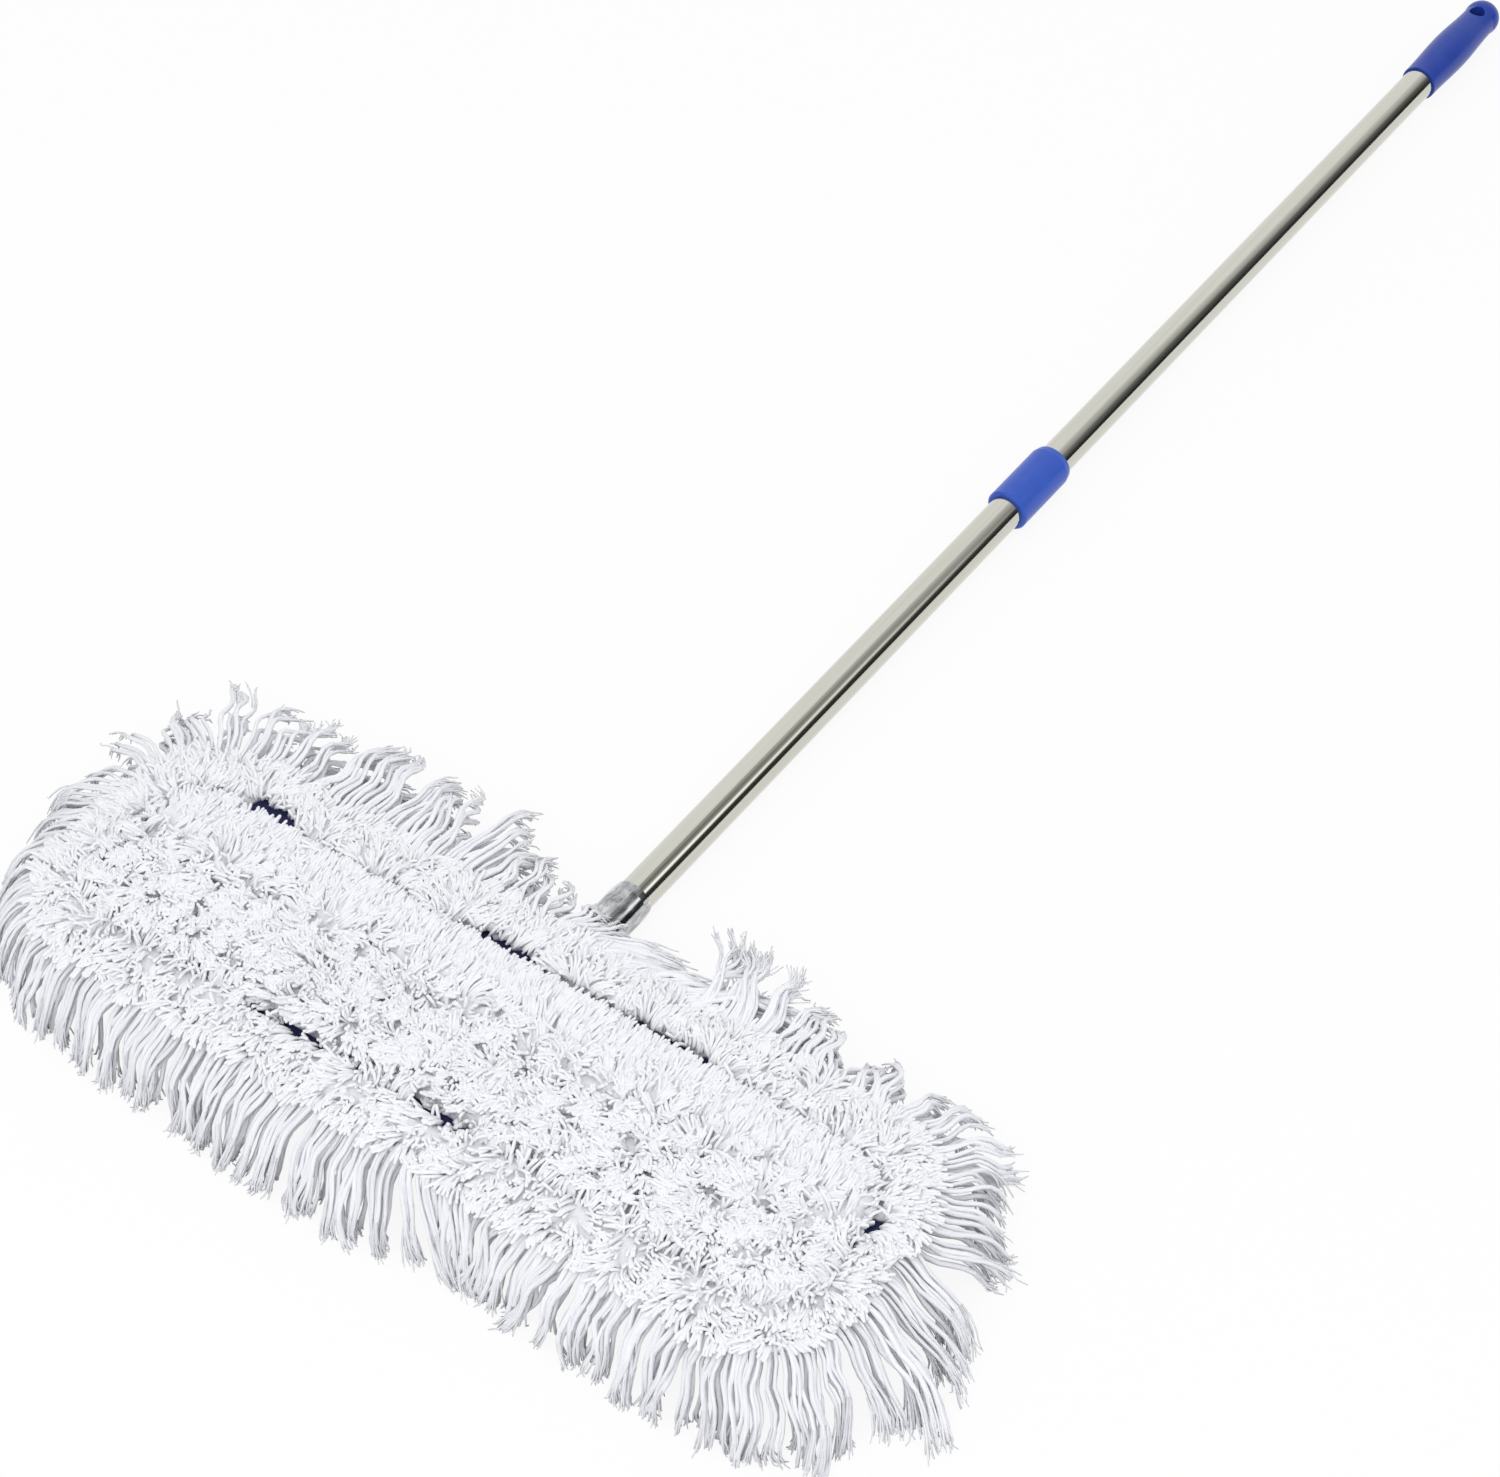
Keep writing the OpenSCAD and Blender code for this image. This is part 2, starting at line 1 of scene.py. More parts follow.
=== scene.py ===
import bpy
import numpy as np
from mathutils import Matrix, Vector


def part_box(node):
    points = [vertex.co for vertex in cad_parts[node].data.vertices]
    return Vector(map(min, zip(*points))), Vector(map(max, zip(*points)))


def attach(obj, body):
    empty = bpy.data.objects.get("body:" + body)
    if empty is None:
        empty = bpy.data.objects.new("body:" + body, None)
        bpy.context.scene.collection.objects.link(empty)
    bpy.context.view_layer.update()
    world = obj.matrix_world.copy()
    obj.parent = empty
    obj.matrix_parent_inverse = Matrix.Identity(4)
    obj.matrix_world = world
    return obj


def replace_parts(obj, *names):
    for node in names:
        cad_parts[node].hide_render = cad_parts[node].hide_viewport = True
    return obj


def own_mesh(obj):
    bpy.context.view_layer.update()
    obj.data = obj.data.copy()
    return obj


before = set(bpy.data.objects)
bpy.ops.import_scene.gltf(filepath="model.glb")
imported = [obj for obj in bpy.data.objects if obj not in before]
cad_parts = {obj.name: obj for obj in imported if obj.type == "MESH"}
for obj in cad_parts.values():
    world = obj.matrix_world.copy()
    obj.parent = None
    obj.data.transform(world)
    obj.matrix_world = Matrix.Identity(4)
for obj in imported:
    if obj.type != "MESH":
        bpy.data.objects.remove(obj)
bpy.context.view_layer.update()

# Wire frame: a loop of spring wire with two straight wires welded across it, which slips into the pad's ends.
# It is bright zinc plated; drawing the wire has left faint marks along it, and the plating on them is uneven.
MM = 0.001


def put(tree, kind, inputs=None, **settings):
    """Adds a shader node. settings are its properties; inputs gives sockets a value, or a socket to take it from."""
    made = tree.nodes.new("ShaderNode" + kind)
    for key, value in settings.items():
        setattr(made, key, value)
    for key, value in (inputs or {}).items():
        if isinstance(value, bpy.types.NodeSocket):
            tree.links.new(value, made.inputs[key])
        else:
            made.inputs[key].default_value = value
    return made


def finish(name, constants):
    """A new material with these constants on its principled shader, and the material's tree."""
    material = bpy.data.materials.new(name)
    material.use_nodes = True
    for key, value in constants.items():
        material.node_tree.nodes["Principled BSDF"].inputs[key].default_value = value
    return material, material.node_tree


def blended(tree, factor, first, second):
    """The colour between first and second at that factor."""
    return put(tree, "Mix", {0: factor, 6: first, 7: second}, data_type="RGBA").outputs[2]


def surfaced(material, tone, dark, light, height, strength, relief, rough=None):
    """Ends a material: its colour goes from dark to light with tone, and its bump follows height, relief mm deep.
    rough is its roughness where that changes."""
    tree, sockets = material.node_tree, material.node_tree.nodes["Principled BSDF"].inputs
    bump = put(tree, "Bump", {"Height": height, "Strength": strength, "Distance": relief * MM}).outputs["Normal"]
    tree.links.new(blended(tree, tone, (*dark, 1), (*light, 1)), sockets["Base Color"])
    tree.links.new(bump, sockets["Normal"])
    if rough is not None:
        tree.links.new(rough, sockets["Roughness"])
    return material


def mottle(tree, place, scale, detail, rough=0.5):
    """Noise with that many grains to a unit of place."""
    inputs = {"Vector": place, "Scale": scale, "Detail": detail, "Roughness": rough}
    return put(tree, "TexNoise", inputs).outputs["Fac"]


def metal(name, dark, light, rough, grain, stretch=(1, 1, 1), relief=0.02):
    """Metal whose tone goes from dark to light, and its roughness from the first to the second, with one noise of
    that many grains per metre, drawn out along an axis by a stretch below 1. relief is its depth in mm."""
    material, tree = finish(name, {"Metallic": 1.0})
    place = put(tree, "TexCoord").outputs["Object"]
    drawn = put(tree, "Mapping", {"Vector": place, "Scale": stretch}).outputs["Vector"]
    noise = mottle(tree, drawn, grain, 5.0, 0.6)
    spread = {"Value": noise, "From Min": 0.3, "From Max": 0.7}
    tone = put(tree, "MapRange", spread).outputs["Result"]
    worn = put(tree, "MapRange", {**spread, "To Min": rough[0], "To Max": rough[1]}).outputs["Result"]
    return surfaced(material, tone, dark, light, noise, 0.6, relief, worn)


def dress(material, *nodes):
    """Puts this material on CAD nodes in place of their own."""
    for node in nodes:
        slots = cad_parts[node].data.materials
        slots.clear()
        slots.append(material)


dress(metal("zinc_on_wire", (0.42, 0.43, 0.46), (0.66, 0.67, 0.69), (0.28, 0.46), 420), "wire_frame", "cross_wires")

# Clamp plates: two pressed zinc-plated steel plates that grip the cross wires between them.
# Four satin steel rivets through both plates hold them together.
pressed_steel = metal("zinc_on_sheet", (0.46, 0.47, 0.5), (0.66, 0.67, 0.7), (0.3, 0.5), 150, (1, 0.3, 1))
rivet_steel = metal("satin_rivet", (0.4, 0.4, 0.41), (0.6, 0.6, 0.61), (0.25, 0.4), 700)
dress(pressed_steel, "lower_clamp_plate", "upper_clamp_plate")
dress(rivet_steel, "clamp_rivets")

# Pad backing: one piece of heavy navy canvas with round corners, which everything soft is sewn to.
# Its lower face shows from below, and its upper face in the bare channel between the tufts.
pad_low, pad_high = (np.array(corner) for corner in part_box("pad_backing"))
head_y = (pad_low[1] + pad_high[1]) / 2
pad_l, pad_w = pad_high[0] - pad_low[0], pad_high[1] - pad_low[1]
pad_r = 60 * MM
cloth_low, cloth_top = pad_low[2], pad_high[2]


def worked(tree, operation, *terms):
    """The outcome of one Math node on these terms."""
    return put(tree, "Math", dict(enumerate(terms)), operation=operation).outputs[0]


def canvas(name, shade, bright, pitch):
    """Plain weave of that pitch: each thread is a half sine across its width, the checker says which one is on top,
    and the raised part is brighter, with painted shade in the hollows. A broad noise fades it in patches."""
    material, tree = finish(name, {"Roughness": 0.92, "Sheen Weight": 0.15, "Sheen Roughness": 0.5})
    place = put(tree, "TexCoord").outputs["Object"]
    x, y, _ = put(tree, "SeparateXYZ", {"Vector": place}).outputs
    waves = [worked(tree, "SINE", worked(tree, "MULTIPLY", axis, np.pi / pitch)) for axis in (x, y)]
    warp, weft = (worked(tree, "ABSOLUTE", wave) for wave in waves)
    over = put(tree, "TexChecker", {"Vector": place, "Scale": 1 / pitch}).outputs["Fac"]
    thread = put(tree, "Mix", {0: over, 2: warp, 3: weft}).outputs[0]
    fade = mottle(tree, place, 45.0, 4.0)
    # painted shade: the colour follows the thread height and is darker in the weave's hollows; the fade is a random
    # tone
    tone = worked(tree, "MULTIPLY", thread, fade)
    return surfaced(material, tone, shade, bright, thread, 0.7, 0.25)


def skin(count, rings, sides, looped=False):
    """Faces of so many tubes of rings with that many sides: quads between the rings, and a cap on both ends, or
    with looped a join from the last ring to the first."""
    index = np.arange(count * rings * sides).reshape(count, rings, sides)
    ahead = np.roll(index, -1, 2)
    if looped:
        return [np.stack([index, ahead, np.roll(ahead, -1, 1), np.roll(index, -1, 1)], -1).reshape(-1, 4)]
    quads = np.stack([index[:, :-1], ahead[:, :-1], ahead[:, 1:], index[:, 1:]], -1).reshape(-1, 4)
    return [quads, index[:, 0, ::-1], index[:, -1]]


def piece(name, points, faces, material, slot, lay=None, tone=None):
    """A smooth mesh riding on the mop head, from points (n, 3) and face arrays (m, corners). lay is a UV pair for
    each corner of a face, and tone a number for each point."""
    corners = np.concatenate([part.ravel() for part in faces])
    sizes = np.concatenate([np.full(len(part), part.shape[1]) for part in faces])
    mesh = bpy.data.meshes.new(name)
    mesh.vertices.add(len(points))
    mesh.vertices.foreach_set("co", np.ascontiguousarray(points, np.float32).ravel())
    mesh.loops.add(len(corners))
    mesh.loops.foreach_set("vertex_index", corners.astype(np.int32))
    mesh.polygons.add(len(sizes))
    mesh.polygons.foreach_set("loop_start", (np.cumsum(sizes) - sizes).astype(np.int32))
    mesh.polygons.foreach_set("use_smooth", np.ones(len(sizes), bool))
    if lay is not None:
        mesh.uv_layers.new(name="lay").data.foreach_set("uv", np.ascontiguousarray(lay, np.float32).ravel())
    if tone is not None:
        mesh.attributes.new("tone", "FLOAT", "POINT").data.foreach_set("value", tone.astype(np.float32).ravel())
    mesh.update(calc_edges=True)
    mesh.validate()
    mesh.materials.append(material)
    made = bpy.data.objects.new(name, mesh)
    bpy.context.scene.collection.objects.link(made)
    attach(made, "mop_head")
    return made


def outline_half(x, length, width, radius):
    """Half the width of a rounded rectangle at x: full, less the corner circle's drop beyond its centre."""
    past = np.clip(np.abs(x) - (length / 2 - radius), 0, radius)
    return width / 2 - radius + np.sqrt(radius**2 - past**2)


def corner_steps(length, radius, straight, bent=12):
    """x positions along a rounded rectangle: even along the straight part, by equal angles round the corners."""
    bend = np.sin(np.linspace(0, np.pi / 2, bent)[1:]) * radius + length / 2 - radius
    middle = np.linspace(-1, 1, straight) * (length / 2 - radius)
    return np.concatenate([-bend[::-1], middle, bend])


def cloth_slab(x, y, low, top):
    """A closed slab from grids x and y: under it from one long edge to the other, and back over it."""
    ring = np.stack([np.concatenate([a, b[:, ::-1]], 1) for a, b in ((x, x), (y, y), (low, top))], -1)
    return ring.reshape(-1, 3), skin(1, ring.shape[0], ring.shape[1])


navy_canvas = canvas("navy_canvas", (0.018, 0.022, 0.095), (0.05, 0.06, 0.21), 1.3 * MM)
back_steps, back_rows = 90, 41
pucker_h, pucker_x, pucker_y = 0.12 * MM, 9 * MM, 7 * MM
tape_gap = 0.15 * MM
back_x = corner_steps(pad_l, pad_r, back_steps)[:, None]
back_y = outline_half(back_x, pad_l, pad_w, pad_r) * np.linspace(-1, 1, back_rows)
back_x = back_x + 0 * back_y
pucker = pucker_h * np.sin(back_x / pucker_x) * np.sin(back_y / pucker_y)
backing = piece(
    "canvas_backing",
    *cloth_slab(back_x, head_y + back_y, cloth_low + tape_gap + pucker, cloth_top + pucker),
    navy_canvas, "canvas",
)
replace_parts(backing, "pad_backing")

# Edge tape: a navy tape sewn flat round the underside of the backing to stop its edge from fraying.
# Two rows of white lockstitch hold it, and pull it down a little between its edges.
edge_core = np.array([pad_l / 2 - pad_r, pad_w / 2 - pad_r])
edge_straights = np.array([edge_core[0], 2 * edge_core[1], 2 * edge_core[0], 2 * edge_core[1], edge_core[0]])
edge_bend = np.pi / 2 * pad_r
edge_spans = np.insert(edge_straights, [1, 2, 3, 4], edge_bend)
edge_breaks = np.concatenate([[0], np.cumsum(edge_spans)])
edge_length = edge_breaks[-1]
core_x = edge_core[0] * np.array([0, 1, 1, 1, 1, -1, -1, -1, -1, 0])
core_y = edge_core[1] * np.array([-1, -1, -1, 1, 1, 1, 1, -1, -1, -1])
facing = np.pi / 2 * np.array([-1, -1, 0, 0, 1, 1, 2, 2, 3, 3])


def rim(s, radius, core_share=1.0):
    """Where s metres round the pad's edge, from the middle of its front and towards +X, comes to lie: a core point
    walks a smaller rectangle while the outward direction turns at its corners, and the radius is added to it.
    core_share moves the core's long sides. Gives x, y and the outward direction."""
    s = np.mod(s, edge_length)
    angle = np.interp(s, edge_breaks, facing)
    x = np.interp(s, edge_breaks, core_x) + radius * np.cos(angle)
    y = head_y + core_share * np.interp(s, edge_breaks, core_y) + radius * np.sin(angle)
    return x, y, np.cos(angle), np.sin(angle)


ring_steps, turn_worth = 260, 60 * MM


def edge_ring(count):
    """That many places round the edge, closer together at the corners: even steps of the length plus turn_worth for
    each radian of the turn."""
    at = np.linspace(0, edge_length, 4001)
    turned = at + turn_worth * np.interp(at, edge_breaks, facing)
    return np.interp(np.linspace(turned[0], turned[-1], count, endpoint=False), turned, at)


def edge_band(name, profile, material, slot):
    """A closed profile of (distance outside the pad's edge, height) carried round the edge."""
    s = edge_ring(ring_steps)[:, None]
    x, y, _, _ = rim(s, pad_r + profile[:, 0])
    points = np.stack([x, y, np.broadcast_to(profile[:, 1], x.shape)], -1)
    return piece(name, points.reshape(-1, 3), skin(1, len(s), len(profile), looped=True), material, slot)


def strands(paths, radii, sideways, sides, flat=1.0):
    """Tubes along paths (count, rings, 3) with radii (count, rings). Each ring stands across the path, measured from
    the sideways direction made square to it; flat thins it the other way. Gives points, faces and the lay: part of
    a turn round, metres along."""
    count, rings = paths.shape[:2]
    along = np.gradient(paths, axis=1)
    along /= np.linalg.norm(along, axis=2, keepdims=True)
    across = sideways[:, None] - (sideways[:, None] * along).sum(2, keepdims=True) * along
    across /= np.linalg.norm(across, axis=2, keepdims=True)
    upright = np.cross(along, across)
    turn = 2 * np.pi * np.arange(sides) / sides
    spread = np.cos(turn)[:, None] * across[:, :, None] + flat * np.sin(turn)[:, None] * upright[:, :, None]
    points = paths[:, :, None] + radii[:, :, None, None] * spread
    steps = np.linalg.norm(np.diff(paths, axis=1), axis=2)
    reach = np.concatenate([np.zeros((count, 1)), np.cumsum(steps, 1)], 1)
    around = np.arange(sides)[None, None] / sides + np.array([0, 1, 1, 0])[:, None, None, None] / sides
    near, far = reach[:, :-1, None], reach[:, 1:, None]
    u = np.broadcast_to(around, (4, count, rings - 1, sides))
    v = np.broadcast_to(np.stack([near, near, far, far]), u.shape)
    lay = np.stack([u, v], -1).transpose(1, 2, 3, 0, 4).reshape(-1, 2)
    ends = reach[:, [0, -1]]
    caps = np.repeat(np.stack([0 * ends, ends], -1).transpose(1, 0, 2).reshape(-1, 2), sides, 0)
    return points.reshape(-1, 3), skin(count, rings, sides), np.concatenate([lay, caps])


thread_r, thread_rings, thread_sides = 0.32 * MM, 5, 5


def stitches(name, starts, ends, lift, material):
    """Lockstitches from starts to ends: a half sine of thread that comes out of the cloth by lift and goes back."""
    share = np.linspace(0, 1, thread_rings)[None, :, None]
    paths = starts[:, None] * (1 - share) + ends[:, None] * share + lift * np.sin(np.pi * share)
    radii = np.full(paths.shape[:2], thread_r)
    sideways = np.cross(ends - starts, lift)
    sideways = sideways / np.linalg.norm(sideways, axis=1, keepdims=True)
    points, faces, lay = strands(paths, radii, sideways, thread_sides)
    return piece(name, points, faces, material, "canvas", lay)


def yarn(name, deep, light, turns, relief):
    """Twisted cotton. Three plies wind round it so many turns a metre and stand up by relief in mm, with fine fibres
    along the lay; tone brings it from deep to light, and the bottoms between the plies are darker as painted shade.
    The tone attribute holds painted shade at the tufts' roots and painted light on the back fringe, besides a random
    tone for each yarn."""
    material, tree = finish(name, {
        "Roughness": 0.95, "Specular IOR Level": 0.2, "Sheen Weight": 0.25, "Sheen Roughness": 0.6,
    })
    lay = put(tree, "UVMap", uv_map="lay").outputs["UV"]
    u, v, _ = put(tree, "SeparateXYZ", {"Vector": lay}).outputs
    plied = worked(tree, "MULTIPLY_ADD", u, 3.0, worked(tree, "MULTIPLY", v, turns))
    ply = worked(tree, "PINGPONG", plied, 1.0)
    stretched = put(tree, "Mapping", {"Vector": lay, "Scale": (9.0, 260.0, 1.0)}).outputs["Vector"]
    fibre = mottle(tree, stretched, 2.0, 3.0)
    height = worked(tree, "MULTIPLY_ADD", fibre, 0.8, ply)
    tone = put(tree, "Attribute", attribute_name="tone").outputs["Fac"]
    # painted shade: the colour is darker where the ply height is low, in the grooves between the plies
    painted_ply_shade = put(tree, "MapRange", {"Value": height, "From Max": 1.2, "To Min": 0.72}).outputs["Result"]
    mixed = worked(tree, "MULTIPLY", tone, painted_ply_shade)
    return surfaced(material, mixed, deep, light, height, 0.8, relief)


tape_profile = np.array(
    [(-0.3, 0), (-1.2, -1.1), (-3, -0.85), (-7, -1.05), (-11, -0.85), (-13, -1.1), (-14, -0.2), (-7, 0)]
) * MM + [0, cloth_low - 0.02 * MM]
edge_tape = edge_band("edge_tape_sewn", tape_profile, navy_canvas, "canvas")
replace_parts(edge_tape, "edge_tape")
white_thread = yarn("white_thread", (0.5, 0.5, 0.52), (0.74, 0.74, 0.75), 900, 0.05)
stitch_l, stitch_gaps = 5 * MM, 1.45
stitch_insets, stitch_z = (3 * MM, 11 * MM), cloth_low - 0.85 * MM
stitch_lift = np.array([0, 0, -0.45 * MM])
stitch_s = np.arange(0, edge_length, stitch_gaps * stitch_l)
sewn = [
    np.stack([*rim(stitch_s + past, pad_r - inset)[:2], np.full(len(stitch_s), stitch_z)], -1)
    for inset in stitch_insets for past in (0, stitch_l)
]
stitches("edge_tape_stitches", np.vstack(sewn[0::2]), np.vstack(sewn[1::2]), stitch_lift, white_thread)

# End pockets: canvas panels sewn to the backing round three sides, open to the middle of the pad.
# The ends of the wire frame slip into them; each mouth has a folded hem with a row of stitching.
pocket_low, pocket_high = (np.array(corner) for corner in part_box("pocket_right"))
pocket_w, pocket_r, pocket_t = pocket_high[1] - pocket_low[1], 32.5 * MM, 0.9 * MM
pocket_l = 2 * pocket_high[0]
mouth_steps, bend_steps, pocket_columns = 44, 18, 57
seam_z, seam_w, seam_turn = 0.6 * MM, 5 * MM, 8 * MM
sag_from, sag_to, ripple_x, ripple_y = 10 * MM, 45 * MM, 17 * MM, 11 * MM
hem_in, hem_r, hem_sides, hem_flat = 4 * MM, 4.6 * MM, 12, 0.2
row_inset, row_from, row_to, row_pitch, row_stitch = 6 * MM, 6 * MM, 9 * MM, 6 * MM, 4 * MM


def inside_by(x, y, length, width, radius):
    """How far a point lies inside a rounded rectangle: the radius less the distance to its core, or to its sides."""
    qx, qy = np.abs(x) - (length / 2 - radius), np.abs(y) - (width / 2 - radius)
    return radius - np.hypot(np.maximum(qx, 0), np.maximum(qy, 0)) - np.minimum(np.maximum(qx, qy), 0)


def eased(value, low, high):
    """0 below low and 1 above high, with an S-curve between them."""
    share = np.clip((value - low) / (high - low), 0, 1)
    return share * share * (3 - 2 * share)


def grid_faces(rows, columns):
    """Quads between the rows and columns of a grid of points."""
    index = np.arange(rows * columns).reshape(rows, columns)
    return np.stack([index[:-1, :-1], index[:-1, 1:], index[1:, 1:], index[1:, :-1]], -1).reshape(-1, 4)


for side, node in ((-1, "pocket_left"), (1, "pocket_right")):
    straight = np.linspace(pocket_low[0], pocket_high[0] - pocket_r, mouth_steps)
    bend = pocket_high[0] - pocket_r + pocket_r * np.sin(np.linspace(0, np.pi / 2, bend_steps)[1:])
    px = np.concatenate([straight, bend])[:, None]
    spread = np.sin(np.pi / 2 * np.sin(np.pi / 2 * np.linspace(-1, 1, pocket_columns)))
    py = outline_half(px, pocket_l, pocket_w, pocket_r) * spread
    px = px + 0 * py
    inside = inside_by(px, py, pocket_l, pocket_w, pocket_r)
    belly = eased(inside, sag_from, sag_to) * (0.5 + 0.2 * np.sin(px / ripple_x + py / ripple_y))
    pz = cloth_low - seam_z - (cloth_low - pocket_low[2] - 1.4 * MM) * eased(inside, 0, seam_w) + belly * MM
    grid = np.stack([side * px, head_y + py, pz], -1)
    quads = grid_faces(*px.shape)[:, ::side]
    pocket = piece(f"{node}_cloth", grid.reshape(-1, 3), [quads], navy_canvas, "canvas")
    thick = pocket.modifiers.new("cloth_thickness", "SOLIDIFY")
    thick.thickness, thick.offset = pocket_t, 1.0
    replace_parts(pocket, node)
    hem = grid[0, 2:-2]
    hem_path = hem[None] + np.array([side * hem_in, 0, -0.75 * MM])
    hem_points, hem_faces, hem_lay = strands(
        hem_path, np.full(hem_path.shape[:2], hem_r), np.array([[1.0, 0, 0]]), hem_sides, flat=hem_flat
    )
    hem_piece = piece(f"{node}_hem", hem_points, hem_faces, navy_canvas, "canvas", hem_lay)
    row_y = np.arange(-pocket_w / 2 + row_from, pocket_w / 2 - row_to, row_pitch)
    row_z = np.interp(row_y, hem[:, 1] - head_y, hem[:, 2]) - 1.75 * MM
    row = np.stack([np.full(len(row_y), side * (pocket_low[0] + row_inset)), head_y + row_y, row_z], -1)
    stitches(f"{node}_stitches", row, row + [0, row_stitch, 0], stitch_lift, white_thread)

# Tie tapes: narrow navy tapes sewn to the backing beside the frame, drawn under its wires and knotted.
# They hold the middle of the pad to the frame; each is gathered narrower at its flat knot and has two loose ends.
tie_w, tie_t = 18 * MM, 0.9 * MM
tie_reach = pocket_w / 2 - 1.2 * MM
tie_low = pocket_low[2] + 0.5 * MM
tie_up = cloth_low - 1.3 * MM - tie_low
tie_rings, tail_rings = 81, 17
tie_bend, tie_wave, sway_wave = 4 * MM, 9 * MM, 21 * MM
gather_from, gather_to, knot_takes = 4 * MM, 26 * MM, 18 * MM
knot_x, knot_y, knot_z = 5.5 * MM, 6 * MM, 1.5 * MM
knot_sides, knot_rings = 24, 15


def ribbon(middle, sideways, half_widths, thickness):
    """A flat tape along a path, of changing half width: a four-sided ring with its wide faces along the sideways
    direction, square to the path. Gives points and faces."""
    along = np.gradient(middle, axis=0)
    along /= np.linalg.norm(along, axis=1, keepdims=True)
    wide = sideways - (sideways * along).sum(1, keepdims=True) * along
    wide /= np.linalg.norm(wide, axis=1, keepdims=True)
    thin = np.cross(along, wide) * thickness / 2
    wide = wide * half_widths[:, None]
    crown = 0.35 * thin
    ring = [wide, wide * 0.5 + thin + crown, -wide * 0.5 + thin + crown, -wide, -wide * 0.5 - thin, wide * 0.5 - thin]
    points = middle[:, None] + np.stack(ring, 1)
    return points.reshape(-1, 3), skin(1, len(middle), len(ring))


for side, node in ((-1, "tie_tape_left"), (1, "tie_tape_right")):
    low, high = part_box(node)
    tie_x = (low[0] + high[0]) / 2
    share = np.linspace(-1, 1, tie_rings)
    ty = tie_reach * np.sin(np.pi / 2 * share)
    tz = tie_low + tie_up * eased(np.abs(ty), tie_reach - tie_bend, tie_reach) + 0.3 * MM * np.cos(ty / tie_wave)
    sway = 1.2 * MM * np.sin(ty / sway_wave + side)
    narrow = tie_w / 2 * (0.42 + 0.58 * eased(np.abs(ty), gather_from, gather_to))
    middle = np.stack([tie_x + sway, head_y + ty, tz], -1)
    across = np.broadcast_to(np.array([1.0, 0, 0]), middle.shape)
    tie = piece(f"{node}_band", *ribbon(middle, across, narrow, tie_t), navy_canvas, "canvas")
    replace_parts(tie, node)
    turn = np.linspace(0, 2 * np.pi, knot_sides, endpoint=False)
    turn, rise = np.meshgrid(turn, np.linspace(-1, 1, knot_rings), indexing="ij")
    bulge = np.sqrt(np.clip(1 - rise**4, 0.04, 1)) * (1 + 0.07 * np.cos(3 * turn + 4 * rise))
    knot = np.stack([
        tie_x + knot_x * bulge * np.cos(turn), head_y + knot_y * rise,
        tie_low - 0.1 * MM + knot_z * bulge * np.sin(turn),
    ], -1).transpose(1, 0, 2)
    knot_faces = [part[:, ::-1] for part in skin(1, knot_rings, knot_sides)]
    knotted = piece(f"{node}_knot", knot.reshape(-1, 3), knot_faces, navy_canvas, "canvas")
    for way in (-1, 1):
        out = np.linspace(0, 1, tail_rings)
        tail = np.stack([
            tie_x + way * (3 + 30 * out) * MM, head_y + way * (2 + 16 * out**1.6) * MM,
            tie_low - (1.0 - 0.5 * np.sin(5 * out)) * MM,
        ], -1)
        wide = np.broadcast_to(np.array([0.0, 1.0, 0]), tail.shape)
        half = tie_w / 2 * (0.4 + 0.5 * eased(out, 0, 0.5))
        piece(f"{node}_end_{'ab'[way > 0]}", *ribbon(tail, wide, half, tie_t), navy_canvas, "canvas")

# Tuft field: the middle of the working face, rows of cut cotton yarn sewn through the backing in dense tufts.
# The tufts lean in locks that fan out this way and that; those by the edge are combed out over the channel.
rng = np.random.default_rng(24)
field_l, field_w, field_r = 554 * MM, 111 * MM, 35 * MM
pile_z = cloth_top + 1.5 * MM


def waves(count, longest, shortest):
    """A smooth random field: that many sine waves of random direction, length and phase, to be added up."""
    length = np.exp(rng.uniform(np.log(shortest), np.log(longest), count))
    angle, phase = rng.uniform(0, 2 * np.pi, (2, count))
    return np.stack([np.cos(angle) / length, np.sin(angle) / length]) * 2 * np.pi, phase


def drift(field, x, y):
    """The smooth random field at x, y, about -1 to 1: the mean of its waves, scaled up."""
    step, phase = field
    value = np.sin(x[..., None] * step[0] + y[..., None] * step[1] + phase)
    return value.sum(-1) * np.sqrt(1.6 / len(phase))


def speckled(name, dark, light, constants, grain, relief):
    """Cotton, plastic or rubber: one noise of that many grains per metre moves its tone from dark to light and its
    roughness about its own, and raises the surface by relief in mm, with a finer noise on it."""
    material, tree = finish(name, constants)
    place = put(tree, "TexCoord").outputs["Object"]
    noise = mottle(tree, place, grain, 4.0)
    fine = mottle(tree, place, 9 * grain, 2.0)
    height = worked(tree, "MULTIPLY_ADD", fine, 0.35, noise)
    rough = constants["Roughness"]
    worn = put(tree, "MapRange", {"Value": noise, "To Min": 0.75 * rough, "To Max": 1.25 * rough}).outputs["Result"]
    return surfaced(material, noise, dark, light, height, 0.5, relief, worn)


yarn_sides = 5


